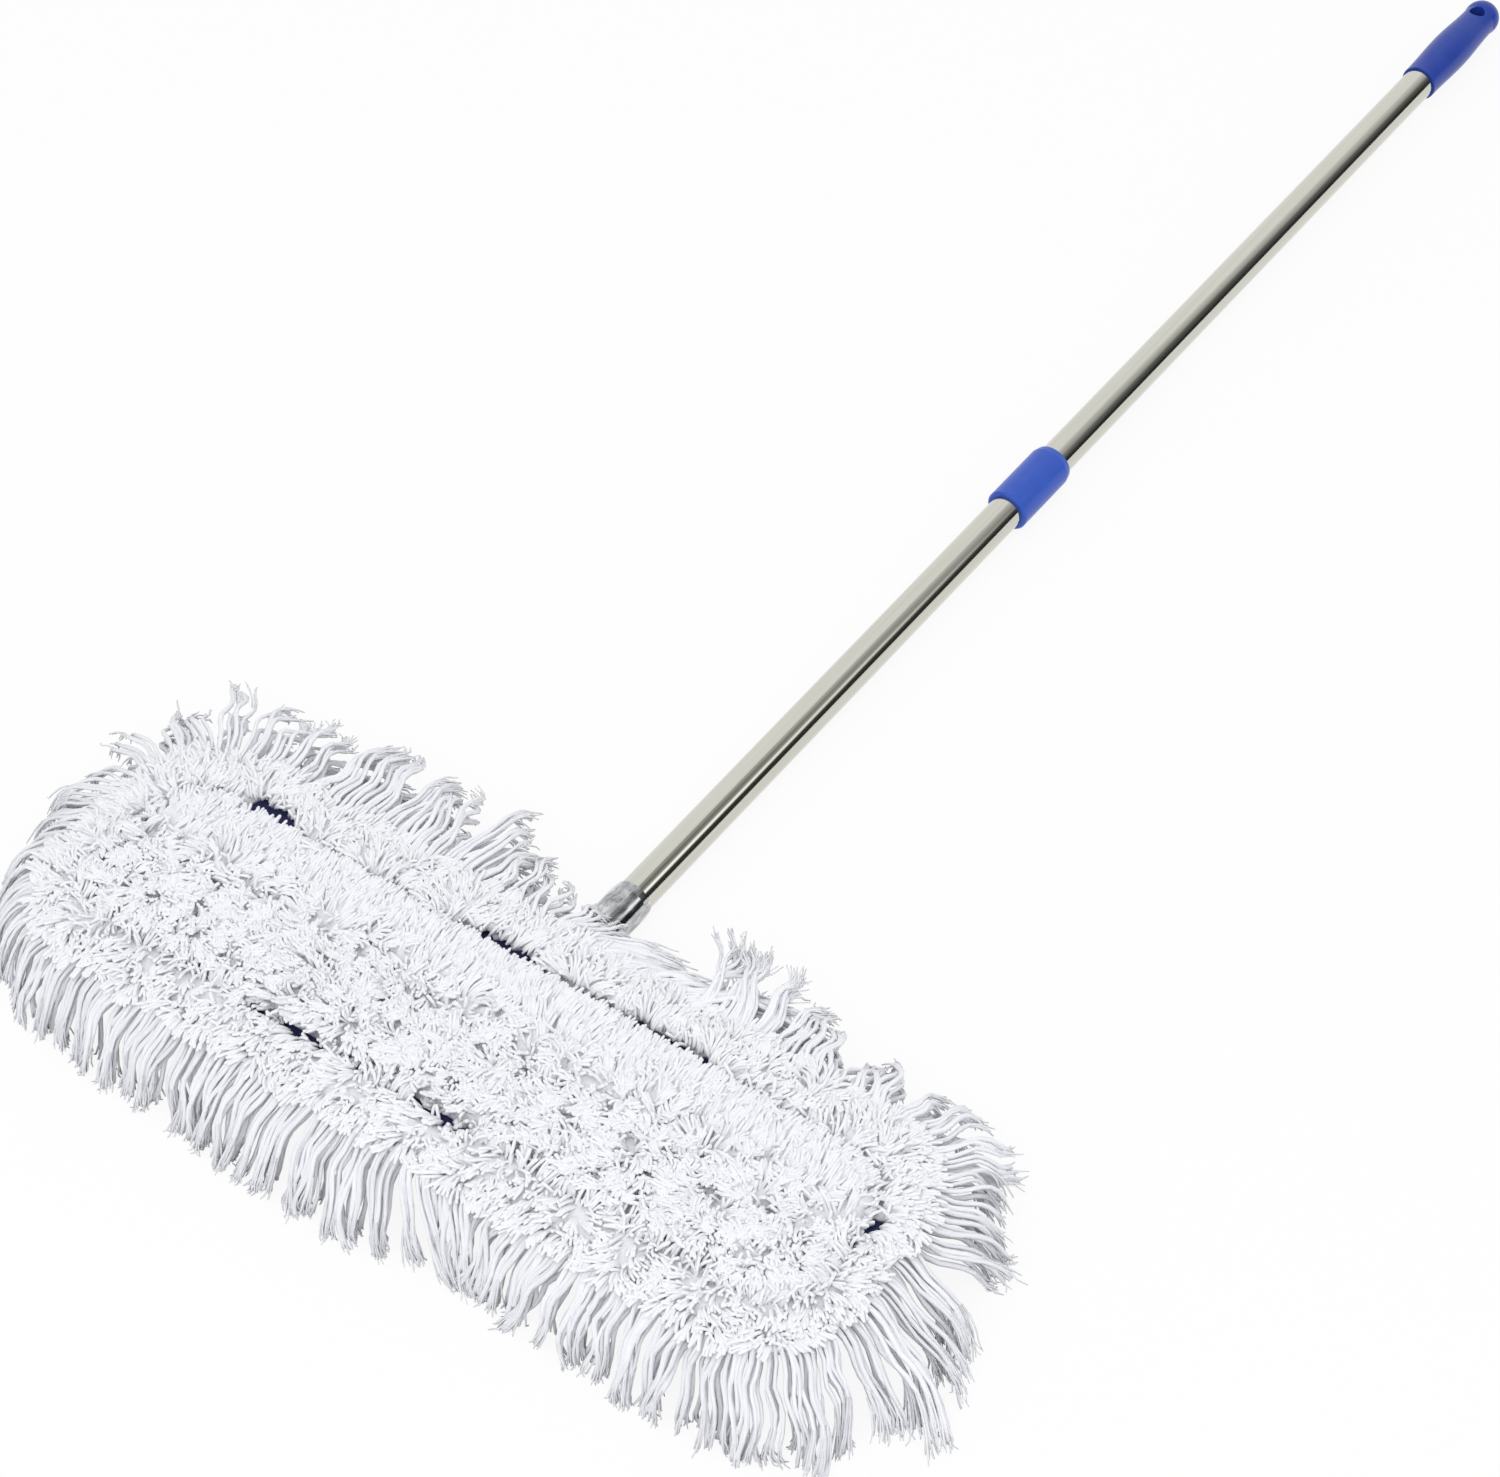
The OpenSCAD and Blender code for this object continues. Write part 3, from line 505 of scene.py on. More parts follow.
def tuft_yarns(x, y, z, azimuth, curl, length, stand, lie, thickness):
    """Cut yarns from roots x, y, z: each sets out leaning by stand from upright and bends evenly to lie at its tip,
    towards its azimuth, which turns by its curl. The path adds up steps of its length, the last one for the tip."""
    share = np.array([0.13, 0.38, 0.63, 0.86, 0.98])
    tilt = stand[:, None] + (lie - stand)[:, None] * share
    way = azimuth[:, None] + (curl + rng.normal(0, 0.2, len(x)))[:, None] * share
    step = np.stack([np.sin(tilt) * np.cos(way), np.sin(tilt) * np.sin(way), np.cos(tilt)], -1)
    step *= length[:, None, None] * np.array([0.25, 0.25, 0.25, 0.21, 0.04])[:, None]
    root = np.stack([x, y, z], -1)[:, None]
    paths = np.concatenate([root, root + np.cumsum(step, 1)], 1)
    radii = thickness[:, None] * np.array([0.85, 1.0, 1.05, 1.05, 1.0, 0.65])
    sideways = np.stack([-np.sin(azimuth), np.cos(azimuth), 0 * azimuth], -1)
    # the tone darkens towards each yarn's root as painted shade where the yarns crowd, times a random tone for each
    # yarn
    tone = np.array([0.3, 0.6, 0.85, 0.95, 1.0, 1.0]) * rng.uniform(0.86, 1.0, len(x))[:, None]
    return paths, radii, sideways, tone


def pile(name, node, yarns, chosen, material):
    """One piece from the chosen yarns, tubes with a tone along them that darkens towards the root as painted shade.
    """
    paths, radii, sideways, tone = (part[chosen] for part in yarns)
    points, faces, lay = strands(paths, radii, sideways, yarn_sides)
    made = piece(name, points, faces, material, "yarn", lay, np.repeat(tone.ravel(), yarn_sides))
    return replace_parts(made, node)


# Where the tufts part and show the cloth of the channel: x from, x to, y from the pad's middle, how wide, in mm
open_spots = np.array([
    (-228, -201, 58.5, 19), (-57, 53, 58.5, 5.5), (-40, -3, 58.5, 12), (75, 85, 58.5, 9.5), (95, 105, 58.5, 9),
    (116, 130, 58.5, 9), (-122, -114, -58.5, 3.5), (-94, -66, -58.5, 4.5), (-46, -40, -58.5, 3), (8, 22, -58.5, 4),
    (30, 40, -58.5, 3), (280, 280, 23, 15),
]) * MM


def parting(x, y):
    """How wide the tufts part at a place in the channel: the widest of the open spots there, with soft ends."""
    from_x, to_x, at_y, wide = open_spots.T
    along = np.maximum(np.maximum(from_x - x[..., None], x[..., None] - to_x), 0)
    away = np.hypot(along, y[..., None] - head_y - at_y)
    return (wide * (1 - eased(away, 2 * MM, 9 * MM))).max(-1)


lean_x, lean_y, swell = waves(14, 60 * MM, 24 * MM), waves(14, 60 * MM, 24 * MM), waves(10, 60 * MM, 25 * MM)
# the roots under the pile are cotton, coloured a little darker than the yarns as painted shade in the gaps between
# them
root_cotton_painted_shade = speckled("tuft_roots_painted_shade", (0.78, 0.785, 0.82), (0.9, 0.905, 0.94), {"Roughness": 1.0}, 420, 0.6)
mat_steps, mat_rows, mat_h, mat_edge = 60, 25, 8, 6 * MM
mat_x = corner_steps(field_l, field_r, mat_steps)[:, None]
mat_y = outline_half(mat_x, field_l, field_w, field_r) * np.linspace(-1, 1, mat_rows)
mat_x = mat_x + 0 * mat_y
mat_rise = eased(inside_by(mat_x, mat_y, field_l, field_w, field_r), 0, mat_edge)
mat_top = pile_z + (mat_h + drift(swell, mat_x, mat_y)) * mat_rise * MM
mat_low = 0 * mat_x + cloth_top + 0.3 * MM
mat = piece("tuft_field_roots", *cloth_slab(mat_x, head_y + mat_y, mat_low, mat_top), root_cotton_painted_shade, "yarn")
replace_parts(mat, "tuft_field")
pitch_x, pitch_y = 7.0, 6.1
site_x, site_y = np.meshgrid(np.arange(-274, 275, pitch_x) * MM, np.arange(-54, 55, pitch_y) * MM, indexing="ij")
site_x = site_x + pitch_x / 2 * MM * (np.arange(site_x.shape[1]) % 2) + rng.uniform(-1.6, 1.6, site_x.shape) * MM
site_y = site_y + rng.uniform(-1.4, 1.4, site_y.shape) * MM
in_field = inside_by(site_x, site_y, field_l, field_w, field_r) > 0.5 * MM
site_x, site_y = site_x[in_field], site_y[in_field]


def locks(x, y, count):
    """Gathers tufts into locks about random middles: each tuft goes with the nearest one. Gives the number of each
    tuft's lock, and its offset from the lock's middle in x and y."""
    middle = rng.uniform([-field_l / 2, -field_w / 2], [field_l / 2, field_w / 2], (count, 2))
    nearest = np.argmin((x[:, None] - middle[:, 0]) ** 2 + (y[:, None] - middle[:, 1]) ** 2, 1)
    return nearest, x - middle[nearest, 0], y - middle[nearest, 1]


def scattered(count, radius):
    """Random offsets in x and y, evenly over a disc: the distance is the radius by the root of a random share."""
    turn, far = rng.uniform(0, 2 * np.pi, count), radius * np.sqrt(rng.uniform(0, 1, count))
    return far * np.cos(turn), far * np.sin(turn)


# Each yarn has its tuft's place tx, ty. far is 1 where the back of the field is combed over the channel and 0 at its
# front, loose is how freely the locks turn there, and the yarns under the rest are short and fill the gaps.
lock_count, yarns_each, tuft_r = 300, 10, 3 * MM
combed_x, combed_y, yarn_least = 16 * MM, 17 * MM, 5 * MM
yarn_l, root_h = 18, 6  # in mm
spread_share, under_share, under_short = 0.8, 0.36, 0.62
lock, off_x, off_y = locks(site_x, site_y, lock_count)
lock = np.repeat(lock, yarns_each)
tx, ty, off_x, off_y = (np.repeat(part, yarns_each) for part in (site_x, site_y, off_x, off_y))
lock_turn, lock_lift = rng.normal(0, 0.6, lock_count), rng.uniform(0, 2.5, lock_count)
lock_curl, lock_length = rng.normal(0, 1.7, lock_count), rng.uniform(-2.5, 2.5, lock_count)
far = eased(ty, 0, 24 * MM)
to_edge = inside_by(tx, ty, field_l, field_w, field_r)
at_end = field_l / 2 - np.abs(tx) < field_w / 2 - np.abs(ty)
channel_in = 3 * MM
parted = parting(
    np.where(at_end, np.sign(tx) * (field_l / 2 + channel_in), tx),
    head_y + np.where(at_end, ty, np.sign(ty) * (field_w / 2 + channel_in)),
)
edge_x = eased(np.abs(tx), field_l / 2 - combed_x, field_l / 2) * np.sign(tx)
edge_y = eased(np.abs(ty), field_w / 2 - combed_y, field_w / 2) * np.sign(ty)
loose = 1 - 0.85 * far
lean = np.stack([
    0.8 * loose * drift(lean_x, tx, ty) + 1.6 * edge_x,
    0.8 * loose * drift(lean_y, tx, ty) + 1.5 * far - 0.5 + 1.2 * edge_y,
])
azimuth = np.arctan2(lean[1], lean[0]) + lock_turn[lock] * loose
aside = off_y * np.cos(azimuth) - off_x * np.sin(azimuth)
azimuth = azimuth + 45 * loose * aside + (0.1 + 0.1 * loose) * rng.uniform(-1, 1, len(tx))
root_x, root_y = scattered(len(tx), tuft_r)
length = (yarn_l + 4 * far + loose * lock_length[lock] + rng.uniform(-1.2, 1.2, len(tx))) * MM
under = rng.uniform(0, 1, len(tx)) < under_share * (1 - 0.8 * far)
bare = parted > 1 * MM
cover = np.where(ty > 0, np.where(bare, 1, 1.5), np.where(bare, 5, 6)) + rng.uniform(0, 3, len(tx))
length = np.clip((to_edge + cover * MM) / spread_share, yarn_least, np.where(under, under_short, 1.0) * length)
azimuth = np.where(under, azimuth + rng.normal(0, 1.2, len(tx)), azimuth)
field_yarns = tuft_yarns(
    tx + root_x, head_y + ty + root_y,
    pile_z + (root_h + loose * lock_lift[lock] - 1.5 * far) * eased(to_edge, 0, mat_edge) * MM,
    azimuth, loose * lock_curl[lock], length,
    stand=np.radians(np.where(under, 12, 34 + 10 * far) + 14 * rng.uniform(0, 1, len(tx))),
    lie=np.radians(np.where(under, 62, 90 + 4 * far) + rng.uniform(-10, 8, len(tx))),
    thickness=rng.uniform(0.95, 1.3, len(tx)) * MM,
)
field_cotton = yarn("field_cotton", (0.87, 0.875, 0.905), (0.92, 0.926, 0.962), 420, 0.12)
field_cuts = np.array([-1, -166 * MM, -56 * MM, 56 * MM, 166 * MM, 1])
for number, name in enumerate(("left_end", "left", "middle", "right", "right_end")):
    pile(f"tuft_field_{name}", "tuft_field", field_yarns, np.searchsorted(field_cuts, tx) == number + 1, field_cotton)

# Tuft border: a ring of the same tufts between the bare channel and the edge of the backing.
# It is combed outwards, so that its outer rows hang over the roots of the fringe.
# bs is each yarn's place round the edge, and bf its share of the way from the channel to the edge.
border_out = np.array([0.05, 0.24, 0.43, 0.62, 0.81, 1.0])
border_pitch, border_each, border_tuft_r, border_under = 7.2 * MM, 7, 2.4 * MM, 0.2
border_s = np.arange(0, edge_length, border_pitch)
bs = (border_s[:, None] + border_pitch / 2 * (np.arange(len(border_out)) % 2)).ravel()
bf = np.broadcast_to(border_out, (len(border_s), len(border_out))).ravel()
bs, bf = bs + rng.uniform(-1.8, 1.8, len(bs)) * MM, np.clip(bf + rng.uniform(-0.05, 0.05, len(bf)), 0.02, 1)
outer_r = pad_r - 1.5 * MM
inner_r, inner_core = field_r + 6 * MM, (field_w / 2 - field_r) / edge_core[1]


def border_place(s, share):
    """rim at s metres round the edge, and by that share of the way from the border's inner edge to its outer one."""
    return rim(s, inner_r + (outer_r - inner_r) * share, inner_core + (1 - inner_core) * share)


def border_parting(s):
    """How wide the tufts part in the channel beside the border."""
    return parting(*rim(s, field_r + channel_in, inner_core)[:2])


mat_s = edge_ring(ring_steps)[:, None]
mat_f = np.array([-0.18, 0.05, 0.3, 0.65, 0.97, 0.97, 0.5, -0.18])
mat_z = np.array([3.0, 7.0, 8.5, 7.5, 3.0, 0.3, 0.3, 0.3]) * MM
border_w = pad_w / 2 - field_w / 2 - 8 * MM
parted = border_parting(mat_s) * (0.85 + 0.25 * np.sin(mat_s / (2.1 * MM)))
parted_share = eased(parted, 0, 2 * MM) * (parted / border_w - mat_f[0]) / (1 - mat_f[0])
mat_f = mat_f + (1 - mat_f) * parted_share
mat_x, mat_y, _, _ = border_place(mat_s, mat_f)
mat = np.stack([mat_x, mat_y, 0 * mat_x + cloth_top + mat_z], -1)
border_mat = piece(
    "tuft_border_roots", mat.reshape(-1, 3), skin(1, len(mat_s), len(mat_z), looped=True), root_cotton_painted_shade, "yarn"
)
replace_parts(border_mat, "tuft_border")
bs, bf = np.repeat(bs, border_each), np.repeat(bf, border_each)
parted = border_parting(bs)
bf = np.maximum(bf, (parted * rng.uniform(0.45, 1.1, len(bs)) + 0.8 * MM) / border_w)
bx, by, bnx, bny = border_place(bs, bf)
inward = np.where(by > head_y, 0.12, 0.7) * (parted < 1 * MM)
inward = rng.uniform(0, 1, len(bs)) < inward * np.interp(bf, [0.12, 0.16, 0.3, 0.34], [1, 0.6, 0.5, 0])
push = np.where(inward, -1.5, 0.9 + 0.9 * bf)
lean = np.stack([0.5 * drift(lean_x, bx, by) + push * bnx, 0.5 * drift(lean_y, bx, by) + push * bny])
azimuth = np.arctan2(lean[1], lean[0]) + 0.25 * rng.uniform(-1, 1, len(bs))
root_x, root_y = scattered(len(bs), border_tuft_r)
under = rng.uniform(0, 1, len(bs)) < border_under
azimuth = np.where(under, azimuth + rng.normal(0, 1.0, len(bs)), azimuth)
border_yarns = tuft_yarns(
    bx + root_x, by + root_y, pile_z + 5.5 * MM * (1 - 0.6 * bf), azimuth, 0.7 * drift(lean_y, by, bx),
    length=(14.5 + 3 * inward - 4 * under + 1.5 * drift(swell, bx, by) + rng.uniform(-2, 2, len(bs))) * MM,
    stand=np.radians(np.where(under, 12, 30 + 12 * bf) + 16 * rng.uniform(0, 1, len(bs))),
    lie=np.radians(np.where(under, 60, 84) + 26 * bf + rng.uniform(-12, 12, len(bs))),
    thickness=rng.uniform(0.95, 1.2, len(bs)) * MM,
)
edge_cotton = yarn("edge_cotton", (0.88, 0.884, 0.912), (0.926, 0.932, 0.964), 420, 0.12)
for name, chosen in (("front", by < head_y), ("back", by >= head_y)):
    for end, there in (("left", bx < 0), ("right", bx >= 0)):
        pile(f"tuft_border_{name}_{end}", "tuft_border", border_yarns, chosen & there, edge_cotton)

# Fringe: twisted cotton strands sewn to the edge all round in two layers under a heading band.
# They hang to the floor at the front, spread on it at the ends, and stand out over the handle at the back.
rng = np.random.default_rng(12)
table_l = 1504.7 * MM


def round_edge(places):
    """Places round the edge, from a table in mm that takes the whole edge as table_l."""
    return np.array(places) * edge_length / table_l * MM


# From the middle of the front towards +X: how far the strands reach out, how far they lean along the edge, how high
# their ends rest, how wide their clumps are, and how wild they lie
reach_s = round_edge([
    0, 30, 60, 90, 120, 150, 180, 210, 240, 275, 310, 340, 360, 392, 420, 440, 475, 510, 540, 570, 600, 630, 655, 672,
    690, 720, 752, 780, 810, 840, 870, 900, 930, 960, 990, 1030, 1060, 1080, 1110, 1140, 1170, 1195, 1230, 1260, 1290,
    1350, 1410, 1470,
])
reach_out = np.array([
    55, 44, 40, 40, 40, 44, 46, 45, 44, 54, 64, 78, 84, 70, 64, 62, 60, 54, 44, 58, 70, 66, 52, 36,
    32, 28, 40, 58, 60, 76, 78, 80, 86, 80, 76, 72, 66, 55, 54, 48, 40, 38, 36, 44, 46,
    46, 52, 55,
]) * MM
lean_s = round_edge([
    0, 25, 60, 90, 105, 140, 180, 250, 300, 335, 360, 390, 420, 460, 500, 560, 585, 605, 640, 662, 690, 720, 745, 760,
    775, 820, 1000, 1060, 1090, 1130, 1170, 1220, 1260, 1440,
])
lean_by = np.array([
    12, 28, 32, 15, -8, -10, 0, 4, 0, -18, -12, 6, 14, 8, 0, 4, 8, 10, 4, -50, -70, -64, -36, -2,
    8, 0, 0, -6, 4, 16, 20, 6, 0, 0,
]) * MM
rest_s = round_edge([0, 300, 360, 425, 470, 520, 585, 602, 640, 664, 740, 770, 810, 1000, 1060, 1100, 1170, 1210])
rest_z = np.array([2, 2, 3, 14, 24, 26, 30, 52, 54, 38, 34, 36, 30, 34, 30, 20, 5, 2]) * MM
clump_s = round_edge([0, 290, 340, 400, 440, 640, 760, 1000, 1180, 1240, 1504.7])
clump_w = np.array([9, 9, 17, 21, 16, 14, 13, 14, 13, 9, 9]) * MM
wild_s = round_edge([0, 290, 330, 420, 470, 560, 640, 780, 900, 960, 1090, 1180])
wild_share = np.array([0.15, 0.2, 0.85, 0.85, 0.6, 0.3, 0.6, 0.6, 0.4, 0.8, 0.6, 0.15])
clump_at = np.linspace(0, edge_length, 1500)
clump_number = np.cumsum(1 / np.interp(clump_at, clump_s, clump_w)) * clump_at[1]
clump_count = 200  # more than there are
strand_rings, strand_sides = 11, 5
wave_l, wave_most, wave_h = (22, 38), (1.3, 2), (1.0, 2.2)  # length in mm, how many, height in mm
plies, ply_rings, ply_sides = 5, 5, 4
handle_top, handle_half = 31 * MM, 22 * MM
heading = np.array([(0.3, -1.5), (3.3, -1.2), (3.5, 1.5), (3.3, 4.2), (0.3, 4.4), (-1.2, 3.0), (-1.2, 0)]) * MM
edge_band("fringe_heading", heading + [0, cloth_top], edge_cotton, "yarn")


def hanging(s, reach, lean, end_z, start_z, lift, thickness):
    """Fringe strands from places s on the edge. Each goes out by reach, fast and then slowly; it falls with a power
    of the way along it to end_z, after a small lift; it moves sideways by its lean and to the middle of its clump,
    more so and more unevenly where the fringe is wild; and it waves along with its clump. The floor, and the handle
    at the back, hold it up."""
    way = np.linspace(0, 1, strand_rings)[None]
    inset = 6 * MM
    s = np.mod(s, edge_length)
    x, y, nx, ny = (part[:, None] for part in rim(s, pad_r - inset))
    clump = np.floor(np.interp(s, clump_at, clump_number))
    gather = np.interp(clump + 0.5, clump_number, clump_at) - s
    clump = clump.astype(int)
    wild = np.interp(s, wild_s, wild_share, period=edge_length)
    gather = gather * np.minimum(rng.uniform(0.35, 0.85, clump_count)[clump] + 0.35 * wild, 0.97)
    lean = lean + rng.normal(0, 1, clump_count)[clump] * (3 + 9 * wild) * MM
    reach = reach * (1 - (0.1 + 0.2 * wild) * rng.uniform(-0.25, 1, clump_count)[clump])
    length = np.hypot(reach + inset, start_z - end_z)
    out = (reach + inset)[:, None] * (1 - (1 - way) ** (1.6 - 0.45 * wild)[:, None])
    fall = (rng.uniform(1.5, 2.1, clump_count)[clump] + rng.uniform(-0.1, 0.1, len(s)) - 0.5 * wild)[:, None]
    z = start_z[:, None] - (start_z - end_z)[:, None] * way**fall + lift[:, None] * np.sin(np.pi * way)
    phase = (1.6 * np.sin(s / (31 * MM)) + 1.3 * np.sin(s / (47 * MM)) + rng.normal(0, 0.55, len(s)))[:, None]
    wave_count = length / (rng.uniform(*wave_l, clump_count)[clump] * MM)
    wave_count = np.minimum(wave_count, rng.uniform(*wave_most, clump_count)[clump])
    turns = 2 * np.pi * way * wave_count[:, None]
    size = rng.uniform(*wave_h, clump_count)[clump] * (1 + 0.7 * wild)
    size = size[:, None] * MM * np.minimum(2.5 * way, 1)
    across = lean[:, None] * way**1.4 + gather[:, None] * way**1.2 + size * np.sin(turns + phase)
    out = out + 0.6 * size * np.sin(0.8 * turns + 1.9 * phase)
    z = z + 0.7 * size * np.cos(0.9 * turns + phase)
    px, py = x + nx * out - ny * across, y + ny * out + nx * across
    under = np.where(py > head_y, handle_top * np.exp(-((px / handle_half) ** 4)), 0)
    pz = np.maximum(z, under + thickness[:, None] * (0.9 + 0.25 * np.sin(turns + phase)))
    return np.stack([px, py, pz], -1), np.concatenate([-ny, nx, 0 * nx], 1)


def frayed(paths, sideways, thickness, splay):
    """Loose plies at each strand's end: they follow its last third and go on a little further, and part from it with
    a power of the way, each to its own side and by its own share of splay."""
    count, last = len(paths), ply_rings - 1
    end = paths[:, -last:]
    aim = end[:, -1:] - end[:, -2:-1]
    aim = aim / np.linalg.norm(aim, axis=2, keepdims=True)
    beyond = rng.uniform(1, 8, (count, plies, 1, 1)) * MM
    path = np.repeat(end[:, None], plies, 1)
    path = np.concatenate([path, path[:, :, -1:] + beyond * aim[:, None]], 2)
    part = rng.normal(0, 1, (count, plies, 1, 3)) * [1, 1, 0.65] * splay[:, None, None, None]
    bend = rng.normal(0, 0.6, (count, plies, ply_rings, 3)) * MM
    way = np.linspace(0, 1, ply_rings)[None, None, :, None]
    path = path + part * (0.25 + 0.75 * way**1.5) + bend * way
    path[..., 2] = np.maximum(path[..., 2], 0.6 * MM)
    radii = np.repeat(thickness, plies)[:, None] * np.array([0.42, 0.46, 0.46, 0.4, 0.2])
    return path.reshape(-1, ply_rings, 3), radii, np.repeat(sideways, plies, 0)


# fs is each strand's place round the edge: a lower row, an upper row, and more where the back fringe is full
strand_pitch, ply_reach, give_way = 3.5 * MM, 4 * MM, 30 * MM
upper_z, lower_z = cloth_top + 4 * MM, cloth_top + 0.5 * MM
rows = np.arange(0, edge_length, strand_pitch)
full = round_edge(np.arange(590, 765, 2.4))
fs = np.concatenate([rows, rows + strand_pitch / 2, full])
fs = fs + rng.uniform(-1.3, 1.3, len(fs)) * MM
upper = np.arange(len(fs)) >= len(rows)
reach = np.interp(fs, reach_s, reach_out, period=edge_length)
reach = reach * np.where(upper, rng.uniform(0.92, 1.06, len(fs)), rng.uniform(0.7, 1.0, len(fs))) - ply_reach
rest = np.interp(fs, rest_s, rest_z, period=edge_length)
rest = np.where(upper, rest + rng.uniform(-5, 5, len(fs)) * MM, 0.4 * rest)
strand_r = rng.uniform(1.2, 1.9, len(fs)) * MM
strand_lean = np.interp(fs, lean_s, lean_by, period=edge_length) * np.where(upper, 1.0, 0.8)
strand_lean = strand_lean + rng.normal(0, 2.2, len(fs)) * MM
strand_lift = np.where(upper, rng.uniform(1, 6, len(fs)), rng.uniform(0, 3, len(fs))) * MM
fringe_paths, fringe_side = hanging(
    fs, reach, strand_lean, np.maximum(rest, strand_r), np.where(upper, upper_z, lower_z), strand_lift, strand_r,
)
taper = np.interp(np.linspace(0, 1, strand_rings), [0, 0.1, 0.6, 1], [0.95, 1.05, 1.05, 0.6])
fringe_radii = strand_r[:, None] * taper
# the fringe is the same cotton as the tufts, with a much darker deep end: painted shade for strands hanging in shade
# at grazing angles, which also makes their twist show
fringe_cotton_painted_shade = yarn("fringe_cotton_painted_shade", (0.655, 0.666, 0.705), (0.922, 0.933, 0.972), 110, 0.45)
corner_s = (edge_breaks[1:-1:2] + edge_breaks[2:-1:2]) / 2
side_of = np.searchsorted(corner_s, np.mod(fs, edge_length)) % 4
# a random tone for each strand in the range for its side; the back's range is lighter than the others as painted
# light on the back strands
strand_tone_and_painted_light = {
    "fringe_front": (0.74, 1), "fringe_right": (0.75, 1), "fringe_back": (1, 1.2), "fringe_left": (0.7, 1),
}
splay = (1.9 + 1.5 * np.interp(fs, wild_s, wild_share, period=edge_length)) * MM
over_fold = (side_of == 0) & (np.abs(fringe_paths[..., 0]).min(1) < give_way)
for node, name, chosen in (
    ("fringe_front", "fringe_front_middle", over_fold),
    ("fringe_front", "fringe_front", (side_of == 0) & ~over_fold),
    ("fringe_right", "fringe_right", side_of == 1),
    ("fringe_back", "fringe_back", side_of == 2),
    ("fringe_left", "fringe_left", side_of == 3),
):
    paths, sideways = fringe_paths[chosen], fringe_side[chosen]
    whole = strands(paths, fringe_radii[chosen], sideways, strand_sides)
    loose_ends = strands(*frayed(paths, sideways, strand_r[chosen], splay[chosen]), ply_sides)
    for kind, (points, faces, lay), each in (
        ("strands", whole, strand_rings * strand_sides), ("tips", loose_ends, ply_rings * ply_sides),
    ):
        shade = np.repeat(rng.uniform(*strand_tone_and_painted_light[node], len(points) // each), each)
        made = piece(f"{name}_{kind}", points, faces, fringe_cotton_painted_shade, "yarn", lay, shade)
        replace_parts(made, node)
        if name == "fringe_front_middle":
            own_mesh(made)

# Swivel: a pressed yoke that turns on a headed post under the clamp plates, with a nylon washer between.
# The handle hinges between its ears on a riveted pin, which has a nylon washer at each side.
dress(pressed_steel, "swivel_yoke", "post_washer")
dress(rivet_steel, "swivel_post", "hinge_pin")
dress(
    speckled("natural_nylon", (0.66, 0.65, 0.6), (0.8, 0.79, 0.74), {"Roughness": 0.45}, 260, 0.05),
    "swivel_washer", "hinge_washers",
)

# Handle socket: a drawn steel socket round the lower tube, galvanised, with a flattened tongue for the hinge.
# One rivet through its wall holds the tube.
galvanised = metal("galvanised", (0.18, 0.183, 0.19), (0.8, 0.81, 0.82), (0.06, 0.2), 230, (1, 0.4, 1), 0.06)
dress(galvanised, "handle_socket")
dress(rivet_steel, "socket_rivet")

# Handle tubes: two lengths of thin stainless tube, polished round and round and then lengthwise.
# The lower one is riveted into the socket, and the upper one carries the grip.
polished = metal("polished_tube", (0.572, 0.57, 0.508), (0.652, 0.65, 0.58), (0.07, 0.13), 500, (1, 0.01, 1), 0.002)
dress(polished, "lower_tube", "upper_tube")

# Screw joint: a black nylon nut and stud pressed into the tube ends, with a rubber washer between the tubes.
# All three are hidden by the coupling sleeve until the upper tube is unscrewed.
screw_black = speckled("screw_nylon", (0.03, 0.03, 0.033), (0.06, 0.06, 0.065), {"Roughness": 0.5}, 300, 0.1)
dress(screw_black, "lower_screw_insert", "upper_screw_plug")
dress(speckled("seal_rubber", (0.02, 0.02, 0.02), (0.045, 0.045, 0.045), {"Roughness": 0.8}, 400, 0.1), "seal_washer")

# Coupling and grip: moulded in blue plastic, semi-gloss, the grip a shade deeper than the coupling sleeve.
# The sleeve is pressed on the lower tube; the grip is pushed over the end of the upper one.
gloss = {"Roughness": 0.3, "Specular IOR Level": 0.3}
dress(speckled("coupling_plastic", (0.03, 0.088, 0.47), (0.04, 0.11, 0.53), gloss, 90, 0.05), "coupling")
dress(speckled("grip_plastic", (0.015, 0.047, 0.32), (0.022, 0.062, 0.38), gloss, 90, 0.05), "hanging_grip")

# Studio: a white floor that fades into a white background but keeps the shadow, and soft light from above.
# Curved walls that only reflections see give the polished tubes their dark bands and bright streaks.


def for_looking(tree):
    """1 for camera, glossy and transmission rays, 0 for the rays that light the object."""
    path = put(tree, "LightPath").outputs
    either = worked(tree, "MAXIMUM", path["Is Camera Ray"], path["Is Glossy Ray"])
    return worked(tree, "MAXIMUM", either, path["Is Transmission Ray"])


def stage_piece(name, x, y, z, tree_of):
    """A grid x, y, z of the stage, with a UV map over it and an empty material that tree_of fills in."""
    material = bpy.data.materials.new(name)
    material.use_nodes = True
    material.node_tree.nodes.clear()
    tree_of(material.node_tree)
    quads = grid_faces(*x.shape)[:, [0, 3, 2, 1]]
    mesh = bpy.data.meshes.new(name)
    mesh.from_pydata(np.stack([x, y, z], -1).reshape(-1, 3).tolist(), [], quads.tolist())
    u, v = np.meshgrid(np.linspace(0, 1, x.shape[0]), np.linspace(0, 1, x.shape[1]), indexing="ij")
    spread = np.stack([u.ravel(), v.ravel()], -1)[quads.ravel()]
    mesh.uv_layers.new(name="spread").data.foreach_set("uv", spread.astype(np.float32).ravel())
    mesh.materials.append(material)
    made = bpy.data.objects.new(name, mesh)
    bpy.context.scene.collection.objects.link(made)
    return made


